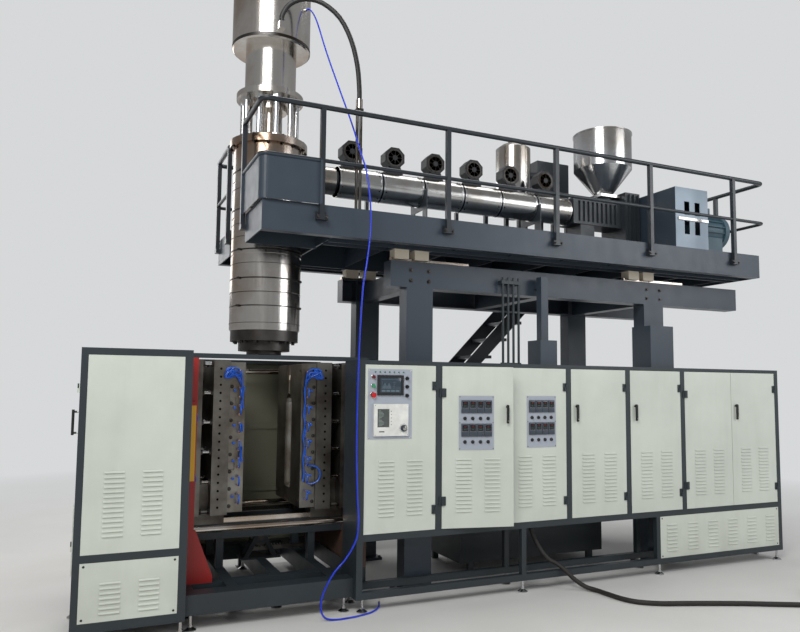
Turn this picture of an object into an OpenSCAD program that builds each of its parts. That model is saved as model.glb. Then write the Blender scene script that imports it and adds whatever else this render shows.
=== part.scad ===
// Accumulator blow moulding machine: clamp with two mould halves, extruder on a
// sliding platform, accumulator head, control cabinets along the front.
// Working frame: X to the right along the cabinet fronts, from the left panel's
// edge; Y into the depth, from the cabinet fronts; Z up, from the floor.

/* [Left cabinet] */
// Width of the left cabinet's front panels
left_panel_w = 620; // [560:5:680]
// Depth of the left cabinet
left_cab_d = 740; // [640:10:760]
// Top of the left cabinet
left_cab_top = 1950; // [1920:5:2000]
// Width of the frame tube on the left of the left cabinet
left_post_w = 45; // [35:5:60]
// Width of the frame tube on the right of the left cabinet
right_post_w = 55; // [40:5:60]
// Height of the lower front panel
lower_panel_h = 382; // [340:2:400]
// Frame bar between the two front panels
panel_bar_h = 52; // [40:2:60]

/* [Control row] */
// Left end of the control row
row_x = 1917; // [1910:1:1930]
// Depth of the control cabinets
row_d = 315; // [260:5:318]
// Width of one door leaf
door_w = 610; // [560:5:612]
// Lower edge of the doors
door_z = 576; // [540:2:600]
// Height of the doors
door_h = 1305; // [1200:5:1330]
// Frame bar between two doors
door_bar_w = 52; // [44:2:60]
// Height of the frame bar above the doors
top_bar_h = 31; // [24:1:40]
// Folded edge depth of doors and panels
pan_d = 22; // [16:1:30]
// Sheet thickness of doors and panels
sheet_t = 2; // [1.5:0.5:3]
// Gap round a door
door_gap = 3; // [2:0.5:5]
// Angle at which the second door stands ajar
ajar = 12; // [0:1:20]
// Height of the feet under the frames
foot_h = 95; // [80:5:110]

/* [Clamp] */
// Centre of the clamp and of the head along the machine
clamp_x = 1410; // [1400:1:1420]
// Centre line of clamp, head and extruder in depth
mid_line = 1020; // [1000:5:1040]
// Half of the open distance between the mould halves
half_gap = 235; // [200:5:260]
// Thickness of a mould half
mould_t = 125; // [110:5:130]
// Width of a mould half in depth
mould_w = 780; // [700:10:800]
// Thickness of a platen
platen_t = 130; // [110:5:135]
// Width of a platen in depth
platen_w = 840; // [820:10:860]
// Lower edge of the platens
platen_z = 690; // [680:5:700]
// Upper edge of the platens
platen_top = 1905; // [1880:5:1920]
// Free length of the spacer studs between platen and back plate
stud_len = 85; // [60:5:90]
// Diameter of the spacer studs
stud_dia = 28; // [20:1:36]
// Thickness of a back plate
back_t = 62; // [50:1:65]
// Thickness of the fixed end plates
end_t = 70; // [60:2:80]
// Diameter of the tie rods
tie_dia = 50; // [40:1:60]
// Outer diameter of the clamp cylinders
clamp_cyl_dia = 240; // [200:5:260]
// Tooth module of the synchronising gear and racks
gear_mod = 8; // [6:1:8]
// Number of teeth on the synchronising gear
gear_teeth = 20; // [18:1:20]

/* [Platform] */
// Left end of the platform
deck_x = 1150; // [1140:5:1160]
// Length of the platform
deck_l = 5290; // [5200:10:5320]
// Front edge of the platform
deck_y = 90; // [60:5:110]
// Top of the platform
deck_top = 3123; // [3100:1:3150]
// Height of the platform's edge beams
deck_beam_h = 232; // [200:2:240]
// Height of the hand rail above the platform
rail_h = 775; // [700:5:1100]
// Height of the middle rail above the platform
mid_rail_h = 345; // [300:5:380]
// Distance between the front posts of the hand rail
post_pitch = 1110; // [1050:5:1112]
// Travel of the platform along its rails
deck_travel = 350; // [200:10:350]
// Height of the bearing blocks
block_h = 72; // [60:1:90]
// Height of the slide rails under the platform
slide_rail_h = 30; // [24:1:36]

/* [Head and extruder] */
// Diameter of the accumulator head's drum
drum_dia = 608; // [560:4:620]
// Lower edge of the drum
drum_z = 2175; // [2150:5:2200]
// Upper edge of the drum
drum_top = 3790; // [3700:5:3800]
// Diameter of the injection cylinder
inj_dia = 450; // [400:5:480]
// Lower edge of the injection cylinder
inj_z = 4240; // [4200:5:4300]
// Height of the injection cylinder
inj_h = 460; // [400:5:500]
// Diameter of the upper drum
cap_dia = 690; // [640:5:700]
// Height of the upper drum
cap_h = 540; // [400:10:600]
// Height of the extruder axis above the platform
screw_h = 477; // [440:1:500]
// Diameter of the heater covers on the barrel
cover_dia = 288; // [260:2:300]
// Length of one heater zone
zone_l = 434; // [400:2:440]
// Number of heater zones
zones = 6; // [5:1:6]
// Diameter of the hopper
hopper_dia = 626; // [560:2:700]

/* [Hidden] */

// Colours
white_paint = "#dfe2da";
dark_paint = "#4d5854";
deck_paint = "#5d6a75";
red_paint = "#b23a35";
black = "#26282a";
bright_steel = "#c9ccce";
plate_steel = "#8b8780";

// Vertical layout
bed_top = 250;
bed_z = 110;
beam_z = 480;
beam_top = 600;
guide_h = 40;
block_gap = 0.3;
seat = 0.3;
joint_gap = 0.4;
door_frame_d = 26;

// Left cabinet
cab_x0 = -left_post_w;
cab_x1 = left_panel_w + right_post_w;
upper_panel_z = foot_h + 63 + lower_panel_h + panel_bar_h;
panel_top = left_cab_top - 48;

// Control row: number of leaves in each bay from left to right
bay_leaves = [1, 2, 1, 1, 2];
single_bay = door_w + 2 * door_gap;
function bay_w(i) = bay_leaves[i] * single_bay;
function bay_x(i) = row_x + door_bar_w + (i == 0 ? 0 : bay_x(i - 1) - row_x - door_bar_w
    + bay_w(i - 1) + door_bar_w);
row_end = bay_x(4) + bay_w(4) + door_bar_w;
row_top = door_z + door_h + top_bar_h;
sill_z = door_z - 50;
low_panel_x = bay_x(3) + 335;
// Left edge of each leaf, and the side of its hinges (0 left, 1 right)
leaf_x = [bay_x(0) + door_gap, bay_x(1) + door_gap, bay_x(1) + single_bay + door_gap,
    bay_x(2) + door_gap, bay_x(3) + door_gap, bay_x(4) + door_gap,
    bay_x(4) + single_bay + door_gap];
leaf_side = [1, 0, 1, 1, 1, 0, 1];
hinge_z = [[796, 1662], [737, 1717]];
pin_y = -9;
pin_r = 4;
pin_gap = 0.1;
knuckle_r = 8;
leaf_l = 70;
function pin_x(n) = leaf_x[n] + (leaf_side[n] == 1 ? door_w : 0);

// Clamp
left_face = clamp_x - half_gap;
right_face = clamp_x + half_gap;
back_x = half_gap + mould_t + platen_t + stud_len;
end_gap = 10;
end_in = back_x + back_t + end_gap;
stud_z0 = platen_z + 28;
stud_rows = 6;
stud_pitch = (platen_top - platen_z - 56) / (stud_rows - 1);
mould_z = platen_z + 15;
mould_top = platen_top - 12;
end_y0 = 340;
end_y1 = 2 * mid_line - end_y0;
tie_low_z = 618;
tie_y = end_y0 + 110;
tie_top_z = 1838;
clamp_z = 1290;
rod_r = 55;
guide_y = 240;
gear_z = 420;
rack_w = 30;
pitch_r = gear_mod * gear_teeth / 2;

// Platform
deck_x1 = deck_x + deck_l;
deck_y1 = 2 * mid_line - deck_y;
deck_z = deck_top - 6 - deck_beam_h;
stand_y = 330;
stand_w = 150;
rail_z = deck_z - block_h - 0.6;
beam_head = rail_z - slide_rail_h;
stand_x = [2465, 5080];
stand_beam_h = 225;
notch_x = clamp_x + drum_dia / 2 + 45;
notch_y = drum_dia / 2 + 30;
screw_z = deck_top + screw_h;
rail_dia = 42;
post_x0 = 1612;
front_posts = [for (x = [post_x0 : post_pitch : deck_x1 - 100]) x];
hand_z = deck_top + rail_h;
mid_z = deck_top + mid_rail_h;
corner_r = 60;
rail_x0 = deck_x - 24;
side_post_y = 690;
rail_x1 = deck_x1 + 60;

// Extruder
barrel_x = clamp_x + drum_dia / 2;
cover_x = barrel_x + 320;
cover_x1 = cover_x + zones * zone_l;
throat_x = cover_x1 + 522;
hopper_z = 4118;
cone_h = 290;
gear_x0 = throat_x + 140;

// Side door, door handles, operator panel, stair and railing
side_hinge_z = [480, 1640];
handle_x = 55;
handle_z = door_z + door_h - 331;
handle_l = 145;
handle_out = 30;
panel_x = leaf_x[0] + 22;
panel_z = door_z + door_h - 581;
zone_z = door_z + door_h - 681;
panel_w = 375;
panel_h = 545;
plate_y = -3;
key_x = panel_x + 42;
key_z = [for (h = [482, 412, 341]) panel_z + h];
key_hole = 11;
stair_y = 2000;
stair_w = 455;
stair_steps = 14;
stair_gap_x = deck_x1 - 1478;
stair_x = stair_gap_x - 2882;
rail_y = deck_y - 24;
stair_gap_w = 700;
post_w = 38;
back_post_x = concat([for (x = front_posts) if (x < stair_gap_x - 10) x], stair_gap_x + stair_gap_w,
    deck_x1 - 340);

// Ram and drive
ram_r = 80;
ram_travel = 250;
gear_l = 200;
drive_x = gear_x0 + gear_l;
drive_y0 = 300;
drive_top = 3810;

// Routes of the oil hose, the supply cable and the air hose
top_r = cap_dia / 2;
top_z = inj_z + inj_h;
hose_points = [[clamp_x, mid_line - top_r - 25, top_z + 130.2], [clamp_x, mid_line - top_r - 26, top_z + 190],
    [clamp_x + 56, mid_line - top_r - 56, top_z + 285], [1580, 560, 5030],
    [1720, 490, 4990], [1850, 410, 4850], [1930, 340, 4640], [1970, 285, 4400], [1980, 256, 4190],
    [1980, 250, 4090]];
cable_r = 19;
cable_points = [[3610, 170, 545], [3610, 170, 480], [3640, 160, 390], [3690, 125, 285], [3735, 80, 225],
    [3775, 30, 200], [3812, -25, 160], [3872, -90, 85], [3935, -155, 34], [3985, -240, 19.5],
    [4000, -370, 19.5], [4020, -510, 19.5], [4080, -630, 19.5], [4220, -730, 19.5], [4400, -800, 19.5],
    [4600, -880, 19.5], [4840, -985, 19.5], [5080, -1105, 19.5], [5320, -1225, 19.5],
    [5520, -1322, 19.5], [5700, -1409, 19.5]];
coil_r = 209;
coil_x = 5800;
coil_y = -1204;
plug_r = 54;
air_r = 7;
air_points = [[1653, 746, 5040], [1680, 716, 5030], [1716, 640, 4900], [1768, 500, 4560],
    [1830, 340, 4200], [1890, 180, 3850], [1938, 70, 3560], [1962, 20, 3420], [1985, -8, 3200],
    [1992, -14, 2960], [1968, -20, 2720], [1930, -30, 2480], [1905, -45, 2150], [1890, -56, 1800],
    [1884, -60, 1500], [1884, -62, 1150], [1896, -64, 860], [1906, -64, 700], [1888, -64, 560],
    [1810, -62, 430], [1716, -60, 330], [1642, -60, 200], [1622, -64, 95], [1652, -76, 26],
    [1725, -86, 7.5], [1803, -88, 7.5], [1910, -72, 7.5], [2040, -22, 7.5], [2130, 70, 7.5], [2185, 190, 7.5]];
air_angle = atan2(air_points[0][1] - mid_line, air_points[0][0] - clamp_x);

// Origin: middle of the machine's length and depth, on the floor
x_min = cab_x0 - 43;
x_max = row_end;
y_min = pin_y - (door_w - handle_x + 9) * sin(ajar) - (handle_out + pin_y) * cos(ajar);
y_max = stair_y + stair_w;
mid_x = (x_min + x_max) / 2;
mid_y = (y_min + y_max) / 2;

module placed() {
    translate([-mid_x, -mid_y, 0])
        children();
}

// Straight bar between two corners
module bar(x0, x1, y0, y1, z0, z1) {
    translate([x0, y0, z0])
        cube([x1 - x0, y1 - y0, z1 - z0]);
}

// Round bar along X, Y or Z from a start point
module rod_x(x, y, z, l, r) {
    translate([x, y, z])
        rotate([0, 90, 0])
            cylinder(h = l, r = r, $fn = 48);
}

module rod_y(x, y, z, l, r) {
    translate([x, y, z])
        rotate([-90, 0, 0])
            cylinder(h = l, r = r, $fn = 48);
}

module rod_z(x, y, z, l, r) {
    translate([x, y, z])
        cylinder(h = l, r = r, $fn = 48);
}

// The same thing on both sides of the machine's middle line in depth
module both_sides() {
    children();
    translate([0, 2 * mid_line, 0])
        mirror([0, 1, 0])
            children();
}

// The same thing on the right half of the clamp, as its mirror image
module right_half() {
    translate([2 * clamp_x, 0, 0])
        mirror([1, 0, 0])
            children();
}

// Channel along X with its web towards the front
module channel_x(x0, x1, y0, z0, w, h, t) {
    translate([x0, y0, z0])
        rotate([90, 0, 90])
            linear_extrude(x1 - x0)
                polygon([[0, 0], [w, 0], [w, t], [t, t], [t, h - t], [w, h - t], [w, h], [0, h]]);
}

// Pressed louvre hood on a sheet that faces the front; its slot is cut apart
module hood(x, z, w) {
    translate([x, 0, z])
        rotate([90, 0, 90])
            linear_extrude(w)
                polygon([[1, 12], [-8, 3], [-8, 0], [-6.2, 0], [-6.2, 2], [1, 9.2]]);
}

module hood_rows(x, z, w, rows, pitch) {
    for (i = [0:rows - 1])
        hood(x, z + i * pitch, w);
}

module slot_rows(x, z, w, rows, pitch) {
    for (i = [0:rows - 1])
        bar(x + 2, x + w - 2, -1, sheet_t + 1, z + i * pitch, z + i * pitch + 9);
}

// Folded sheet panel that faces the front, with columns of louvres
module louvred_pan(x, z, w, h, columns, louvre_w, louvre_z, rows, pitch, depth = pan_d) {
    difference() {
        bar(x, x + w, 0, depth, z, z + h);
        bar(x + sheet_t, x + w - sheet_t, sheet_t, depth + 1, z + sheet_t, z + h - sheet_t);
        for (c = columns)
            slot_rows(x + c - louvre_w / 2, louvre_z, louvre_w, rows, pitch);
    }
    for (c = columns)
        hood_rows(x + c - louvre_w / 2, louvre_z, louvre_w, rows, pitch);
}

// Machine bed under the clamp: base frame, guide beams, their legs and the gear's stand
module clamp_bed() {
    color(dark_paint) {
        channel_x(cab_x1 + seat, row_x - seat, 60, bed_z, 140, bed_top - bed_z, 10);
        both_sides()
            bar(clamp_x - end_in - end_t, clamp_x + end_in + end_t, end_y0, end_y0 + 100, bed_z, bed_top);
        for (x = [cab_x1 + seat, 990, 1750])
            bar(x, x + 80, 200 + seat, end_y0 - seat, bed_z, bed_top);
        for (x = [clamp_x - end_in - end_t, 990, clamp_x - 40, 1750, clamp_x + end_in + end_t - 80])
            bar(x, x + 80, end_y0 + 100, end_y1 - 100, bed_z, bed_top);
        both_sides() {
            bar(clamp_x - end_in + 0.3, clamp_x + end_in - 0.3, mid_line - guide_y - 40,
                mid_line - guide_y + 40, beam_z, beam_top);
            for (x = [1000, 1760])
                bar(x, x + 60, mid_line - guide_y - 30, mid_line - guide_y + 30, bed_top, beam_z);
        }
        bar(clamp_x - 170, clamp_x + 170, mid_line - 90, mid_line + 90, bed_top - 1, bed_top + 12);
        difference() {
            for (y = [mid_line - 66, mid_line + 54])
                translate([clamp_x, y, 0])
                    gear_stand();
            rod_y(clamp_x, mid_line - 80, gear_z, 160, 25.1);
        }
    }
}

// A-shaped plate that carries the gear's axle
module gear_stand() {
    rotate([90, 0, 0])
        mirror([0, 0, 1])
            linear_extrude(12)
                polygon([[-150, bed_top], [-105, bed_top], [-38, gear_z - 40], [38, gear_z - 40],
                    [105, bed_top], [150, bed_top], [34, gear_z + 44], [-34, gear_z + 44]]);
}

// Fixed end plate of the clamp, with ribs, tie rod bosses and the cylinder's seat
module end_plate() {
    x0 = clamp_x - end_in - end_t;
    difference() {
        union() {
            bar(x0 + 30, x0 + end_t, end_y0, end_y1, bed_top, row_top);
            both_sides() {
                bar(x0, x0 + 30, end_y0, end_y0 + 60, bed_top, row_top);
                bar(x0, x0 + 30, end_y0 + 420, end_y0 + 460, bed_top, row_top);
            }
            bar(x0, x0 + 30, end_y0 + 60, end_y1 - 60, row_top - 60, row_top);
            bar(x0, x0 + 30, end_y0 + 60, end_y1 - 60, bed_top, bed_top + 60);
            bar(x0, x0 + 30, end_y0 + 60, end_y1 - 60, clamp_z - 200, clamp_z - 160);
            bar(x0, x0 + 30, end_y0 + 60, end_y1 - 60, clamp_z + 160, clamp_z + 200);
        }
        rod_x(x0 - 1, mid_line, clamp_z, end_t + 2, rod_r + 6);
        for (p = tie_places())
            rod_x(x0 - 1, p[0], p[1], end_t + 2, tie_dia / 2 + 0.1);
    }
}

function tie_places() = [[tie_y, tie_low_z], [2 * mid_line - tie_y, tie_low_z],
    [2 * mid_line - tie_y, tie_top_z]];

module left_end_frame() {
    x1 = clamp_x - end_in;
    color(red_paint) {
        end_plate();
        // Gusset at the foot of the front edge
        translate([x1, end_y0, 0])
            rotate([90, 0, 0])
                mirror([0, 0, 1])
                    linear_extrude(50)
                        polygon([[0, bed_top], [145, bed_top], [145, bed_top + 46], [16, 632], [0, 632]]);
    }
}

module right_end_frame() {
    color(plate_steel)
        right_half()
            end_plate();
}

// Tie rods with their nuts, guide rails on the bed and slide rails under the platform
module rods_and_rails() {
    x0 = clamp_x - end_in - end_t;
    l = 2 * (end_in + end_t);
    color(bright_steel) {
        for (p = tie_places()) {
            rod_x(x0 - 45, p[0], p[1], l + 90, tie_dia / 2);
            for (x = [x0 - 42, x0 + l + 0.3])
                translate([x, p[0], p[1]])
                    rotate([0, 90, 0])
                        cylinder(h = 41.7, r = tie_dia * 0.9, $fn = 6);
        }
        both_sides()
            bar(clamp_x - end_in + 12, clamp_x + end_in - 12, mid_line - guide_y - 20,
                mid_line - guide_y + 20, beam_top, beam_top + guide_h);
        both_sides()
            for (x = slide_places())
                bar(x - 35, x + 330 + deck_travel + 60, stand_y + stand_w / 2 - 22,
                    stand_y + stand_w / 2 + 22, beam_head, rail_z);
    }
}

function slide_places() = [stand_x[0] - 105, stand_x[1] - 170];

// Hydraulic cylinders that drive the two platens
module clamp_cylinder() {
    x0 = clamp_x - end_in - end_t;
    color(dark_paint)
        difference() {
            union() {
                rod_x(x0 - 30.3, mid_line, clamp_z, 30, clamp_cyl_dia / 2 + 45);
                rod_x(x0 - 560, mid_line, clamp_z, 530, clamp_cyl_dia / 2);
                rod_x(x0 - 620, mid_line, clamp_z, 60, clamp_cyl_dia / 2 + 20);
                rod_z(x0 - 90, mid_line, clamp_z + clamp_cyl_dia / 2 - 12, 50, 22);
                rod_z(x0 - 520, mid_line, clamp_z + clamp_cyl_dia / 2 - 12, 50, 22);
            }
            rod_x(x0 - 540, mid_line, clamp_z, 600, rod_r + 0.5);
        }
}

module clamp_cylinders() {
    clamp_cylinder();
    right_half()
        clamp_cylinder();
}

// Light curtain on the front of the left end frame
module light_curtain() {
    x = clamp_x - end_in - end_t + 10;
    color("#c9a23a")
        difference() {
            bar(x, x + 45, end_y0 - 50.3, end_y0 - 0.3, 978, 1580);
            bar(x + 45 - 4, x + 46, end_y0 - 40, end_y0 - 12, 1003, 1555);
        }
}

// Guard behind the clamp and the beam across its front
module clamp_guard() {
    y0 = end_y1 + 40;
    x0 = clamp_x - end_in - end_t;
    x1 = clamp_x + end_in + end_t;
    color("#a5a58f") {
        difference() {
            bar(x0, x1, y0, y0 + 40, bed_z, row_top + 34);
            for (i = [0:2])
                bar(x0 + 40, x1 - 40, y0 - 1, y0 + 41, bed_z + 50 + i * 590, bed_z + 50 + i * 590 + 540);
        }
        for (i = [0:2])
            bar(x0 + 40, x1 - 40, y0 + 16, y0 + 19, bed_z + 50 + i * 590, bed_z + 50 + i * 590 + 540);
    }
    color(dark_paint) {
        bar(x0, x1, end_y0, end_y0 + 60, row_top + seat, row_top + 34);
        bar(x0, x1, end_y1 - 60, end_y1 + 80, row_top + seat, row_top + 34);
        for (x = [x0, clamp_x - 20, x1 - 40]) {
            bar(x, x + 40, y0, y0 + 40, 0, bed_z + 1);
            bar(x - 20, x + 60, y0 - 10, y0 + 50, 0, 8);
        }
    }
}

module left_cabinet_frame() {
    y1 = left_cab_d;
    color(dark_paint)
        difference() {
            union() {
                for (y = [0, y1 - 45]) {
                    bar(cab_x0, 0, y, y + 45, foot_h, left_cab_top);
                    bar(left_panel_w, cab_x1, y, y + 45, foot_h, left_cab_top);
                    bar(0, left_panel_w, y, y + 45, foot_h, foot_h + 63);
                    bar(0, left_panel_w, y, y + 45, panel_top, left_cab_top);
                }
                bar(0, left_panel_w, 0, 45, upper_panel_z - panel_bar_h, upper_panel_z);
                for (x = [cab_x0, left_panel_w]) {
                    w = x < 0 ? left_post_w : right_post_w;
                    bar(x, x + w, 45, y1 - 45, foot_h, foot_h + 63);
                    bar(x, x + w, 45, y1 - 45, panel_top, left_cab_top);
                }
                bar(0, left_panel_w, 45, y1 - 45, left_cab_top - 3, left_cab_top);
                bar(0, left_panel_w, y1 - 3, y1, foot_h + 63, panel_top);
                bar(cab_x1 - 3, cab_x1, 45, y1 - 45, foot_h + 63, panel_top);
                for (z = side_hinge_z)
                    translate([cab_x0, y1 - 45, z])
                        side_frame_leaf();
            }
            // Clearance round the end of the low tie rod
            rod_x(cab_x1 - 60, tie_y, tie_low_z, 61, 52);
        }
}

// Frame half of a hinge of the side door, with its pin
module side_frame_leaf() {
    bar(-6, 0.01, 12.3, 34, 0, leaf_l / 2 + 0.3);
    bar(-6, 0.01, 3, 34, leaf_l / 2 + 0.29, leaf_l);
    rod_z(pin_y, 3, leaf_l / 2 + 0.3, leaf_l / 2 - 0.3, knuckle_r);
    bar(pin_y, -5.99, 3, 16, leaf_l / 2 + 0.3, leaf_l);
    rod_z(pin_y, 3, 4, leaf_l - 8, pin_r);
}

// Fixed louvred panels: two on the left cabinet and one low on the right of the row
module louvre_panels() {
    color(white_paint) {
        louvred_pan(0.3, upper_panel_z + 0.3, left_panel_w - 0.6, panel_top - upper_panel_z - 0.6,
            [190, 434], 128, 700, 14, 32);
        louvred_pan(0.3, foot_h + 63.3, left_panel_w - 0.6, lower_panel_h - 0.6,
            [190, 434], 128, 205, 7, 32);
        w = row_end - door_bar_w - low_panel_x - 0.6;
        louvred_pan(low_panel_x + 0.3, foot_h + 53.3, w, sill_z - foot_h - 53.6,
            [for (i = [0:5]) w * (i + 0.5) / 6 + 10], 120, 205, 8, 34);
    }
}

// Narrow joints between the bolted base, door frame, walls, back and roof of the control row
module row_joints() {
    for (z = [foot_h + 53, sill_z - joint_gap, door_z, row_top - top_bar_h - joint_gap])
        bar(row_x - 1, row_end + 1, -1, row_d + 1, z, z + joint_gap);
    for (y = [door_frame_d - joint_gap, row_d - 3 - joint_gap])
        bar(row_x - 1, row_end + 1, y, y + joint_gap, door_z, row_top - top_bar_h);
}

// Frame and shell of the control row, with mounting plates and switchgear inside
module row_frame() {
    back = row_d;
    color(dark_paint) {
        difference() {
            union() {
                for (i = [0:4])
                    bar(bay_x(i) - door_bar_w, bay_x(i), 0, back, door_z, row_top);
                bar(row_end - door_bar_w, row_end, 0, back, foot_h, row_top);
                bar(row_x, row_x + door_bar_w, 0, back, foot_h, door_z);
                bar(row_x + door_bar_w, row_end - door_bar_w, 0, 40, sill_z, door_z - 0.01);
                bar(row_x + door_bar_w, row_end - door_bar_w, back - 40, back, sill_z, door_z);
                bar(row_x + door_bar_w, row_end - door_bar_w, 40, back - 40, door_z - 3, door_z);
                bar(row_x + door_bar_w, row_end - door_bar_w, 0, 40, row_top - top_bar_h, row_top);
                bar(row_x + door_bar_w, row_end - door_bar_w, 40, back - 3, row_top - 3, row_top);
                bar(row_x + door_bar_w, row_end - door_bar_w, back - 3, back, door_z, row_top);
                rod_z(cable_points[0][0], cable_points[0][1], cable_points[0][2],
                    door_z - cable_points[0][2], 27);
                for (y = [0, back - 50])
                    bar(row_x + door_bar_w, row_end - door_bar_w, y, y + 50, foot_h, foot_h + 53);
                for (x = [3400, low_panel_x - 45], y = [0, back - 45])
                    bar(x, x + 45, y, y + 45, foot_h + 53, sill_z);
            }
            row_joints();
        }
        for (n = [0:6], z = hinge_z[leaf_side[n]])
            translate([pin_x(n), 0, z - leaf_l / 2])
                mirror([leaf_side[n] == 1 ? 1 : 0, 0, 0])
                    frame_leaf();
    }
    color("#d9dad2")
        for (i = [0:4]) {
            bar(bay_x(i) + 40, bay_x(i) + bay_w(i) - 40, back - 9, back - 3, door_z + 60, row_top - 100);
            for (r = [0:3])
                switchgear(bay_x(i) + 90, door_z + 150 + r * 280, bay_w(i) - 180, back - 9);
        }
}

// One rail of breakers and terminals on a mounting plate
module switchgear(x, z, w, y) {
    bar(x, x + w, y - 12, y, z, z + 35);
    n = floor(w / 72);
    for (i = [0:n - 1])
        bar(x + 6 + i * 72, x + 66 + i * 72, y - 12 - 55 - 12 * (i % 2), y - 12, z - 30, z + 65);
}

// Frame half of a door hinge, for hinges on the left, with the pin
module frame_leaf() {
    bar(-26, pin_y - block_gap, -6, 0.01, 0, leaf_l / 2 + 0.3);
    bar(-26, -door_gap, -6, 0.01, leaf_l / 2 + 0.29, leaf_l);
    bar(-20, 0, pin_y, -5.99, leaf_l / 2 + 0.3, leaf_l);
    rod_z(0, pin_y, leaf_l / 2 + 0.3, leaf_l / 2 - 0.3, knuckle_r);
    rod_z(0, pin_y, 4, leaf_l - 8, pin_r);
}

// Door half of a door hinge, for hinges on the left
module door_leaf() {
    difference() {
        union() {
            bar(9, 32, -6, 0.01, 0, leaf_l);
            bar(0, 20, pin_y - 3, -5.99, 0, leaf_l / 2);
            rod_z(0, pin_y, 0, leaf_l / 2, knuckle_r);
        }
        rod_z(0, pin_y, -1, leaf_l + 2, pin_r + pin_gap);
    }
}

// One door leaf of the row with its louvres and its halves of the hinges
module door_pan(n) {
    x = leaf_x[n];
    color(white_paint) {
        louvred_pan(x, door_z + door_gap, door_w, door_h - 2 * door_gap,
            [door_w * 0.3, door_w * 0.7], 130, 705, 14, 32);
        for (z = hinge_z[leaf_side[n]])
            translate([pin_x(n), 0, z - leaf_l / 2])
                mirror([leaf_side[n] == 1 ? 1 : 0, 0, 0])
                    door_leaf();
    }
}

// The second door and all that it carries stand ajar
module at_ajar() {
    translate([pin_x(1), pin_y, 0])
        rotate([0, 0, -ajar])
            translate([-pin_x(1), -pin_y, 0])
                children();
}

module door_1() {
    difference() {
        door_pan(0);
        for (z = key_z)
            rod_y(key_x, -1, z, sheet_t + 2, key_hole + 0.3);
    }
}

module door_2() { at_ajar() door_pan(1); }
module door_3() { door_pan(2); }
module door_4() { door_pan(3); }
module door_5() { door_pan(4); }
module door_6() { door_pan(5); }
module door_7() { door_pan(6); }

// Swing handle with the hole of its cylinder lock
module handle(x) {
    color(black)
        translate([x, 0, handle_z]) {
            difference() {
                union() {
                    rod_y(0, -26, 0, 25.7, 11);
                    translate([0, -26, 0])
                        rotate([90, 0, 90])
                            translate([0, 0, -9])
                                linear_extrude(18)
                                    polygon([[12.5, 16], [2, 16], [-4, 8], [-4, -handle_l + 24],
                                        [2, -handle_l + 10], [12.5, -handle_l + 10]]);
                }
                rod_y(0, -40, -handle_l + 32, 60, 6);
            }
        }
}

module handle_2() { at_ajar() handle(leaf_x[1] + door_w - handle_x); }
module handle_4() { handle(leaf_x[3] + handle_x); }
module handle_5() { handle(leaf_x[4] + handle_x); }
module handle_7() { handle(leaf_x[6] + handle_x); }

// Door in the left side of the left cabinet, with its pull
module left_side_door() {
    y0 = 45 + door_gap;
    w = left_cab_d - 90 - 2 * door_gap;
    z0 = foot_h + 63 + door_gap;
    h = panel_top - z0 - door_gap;
    color(white_paint) {
        translate([cab_x0, y0 + w, 0])
            rotate([0, 0, -90])
                louvred_pan(0, z0, w, h, [w * 0.3, w * 0.7], 130, 420, 14, 32);
        for (z = side_hinge_z)
            difference() {
                union() {
                    bar(cab_x0 - 6, cab_x0 + 0.01, y0 + w - 34, y0 + w - 6, z, z + leaf_l);
                    bar(cab_x0 + pin_y - 3, cab_x0 - 6, y0 + w - 20, y0 + w + 3 + door_gap, z, z + leaf_l / 2);
                    rod_z(cab_x0 + pin_y, y0 + w + 3 + door_gap, z, leaf_l / 2, knuckle_r);
                }
                rod_z(cab_x0 + pin_y, y0 + w + 3 + door_gap, z - 1, leaf_l + 2, pin_r + pin_gap);
            }
    }
    color(black) {
        for (z = [1380, 1520])
            rod_x(cab_x0 - 34, y0 + 60, z, 34.01, 7);
        rod_z(cab_x0 - 34, y0 + 60, 1365, 170, 9);
    }
}

// Operator panel plate with the touch screen and three selector switches
module operator_panel() {
    color("#b9bdbd")
        difference() {
            bar(panel_x, panel_x + panel_w, plate_y, -0.0, panel_z, panel_z + panel_h);
            for (z = key_z)
                rod_y(key_x, -5, z, 8, key_hole + 0.3);
        }
    color(black) {
        difference() {
            bar(panel_x + 75, panel_x + 297, plate_y - 12, plate_y + 0.01, panel_z + 340, panel_z + 498);
            bar(panel_x + 97, panel_x + 275, plate_y - 13, plate_y - 9, panel_z + 360, panel_z + 478);
        }
        for (z = [for (h = [474, 408, 338]) panel_z + h]) {
            rod_y(panel_x + 330, plate_y - 8, z, 8.01, 15);
            rod_y(panel_x + 330, plate_y - 24, z, 17, 10);
            bar(panel_x + 327, panel_x + 333, plate_y - 28, plate_y - 22, z - 10, z + 10);
        }
        for (i = [0:6])
            rod_y(panel_x + 60 + i * 40, plate_y - 3, panel_z + 522, 3.01, 6);
    }
}

// Parison programmer with its display and dial
module parison_controller() {
    x = panel_x + 45;
    color("#e6e6e2")
        difference() {
            bar(x, x + 292, plate_y - 18, plate_y - 0.3, panel_z + 24, panel_z + 272);
            bar(x + 29, x + 131, plate_y - 19, plate_y - 13, panel_z + 90, panel_z + 235);
        }
    color("#8d9195") {
        rod_y(x + 250, plate_y - 30, panel_z + 83, 12.01, 26);
        rod_y(x + 250, plate_y - 42, panel_z + 83, 12.01, 16);
    }
}

// Push buttons: stem through the plate and cap in front
module push_button(z, cap_r, cap_l) {
    rod_y(key_x, plate_y - 10, z, 14, key_hole);
    rod_y(key_x, plate_y - 10 - cap_l, z, cap_l + 0.01, cap_r);
}

module stop_button() {
    color("#6b2326")
        push_button(key_z[0], 14, 6);
}

module start_button() {
    color("#3f9a70")
        push_button(key_z[1], 14, 6);
}

module emergency_button() {
    color("#c8343a")
        push_button(key_z[2], 19, 14);
}

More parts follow.
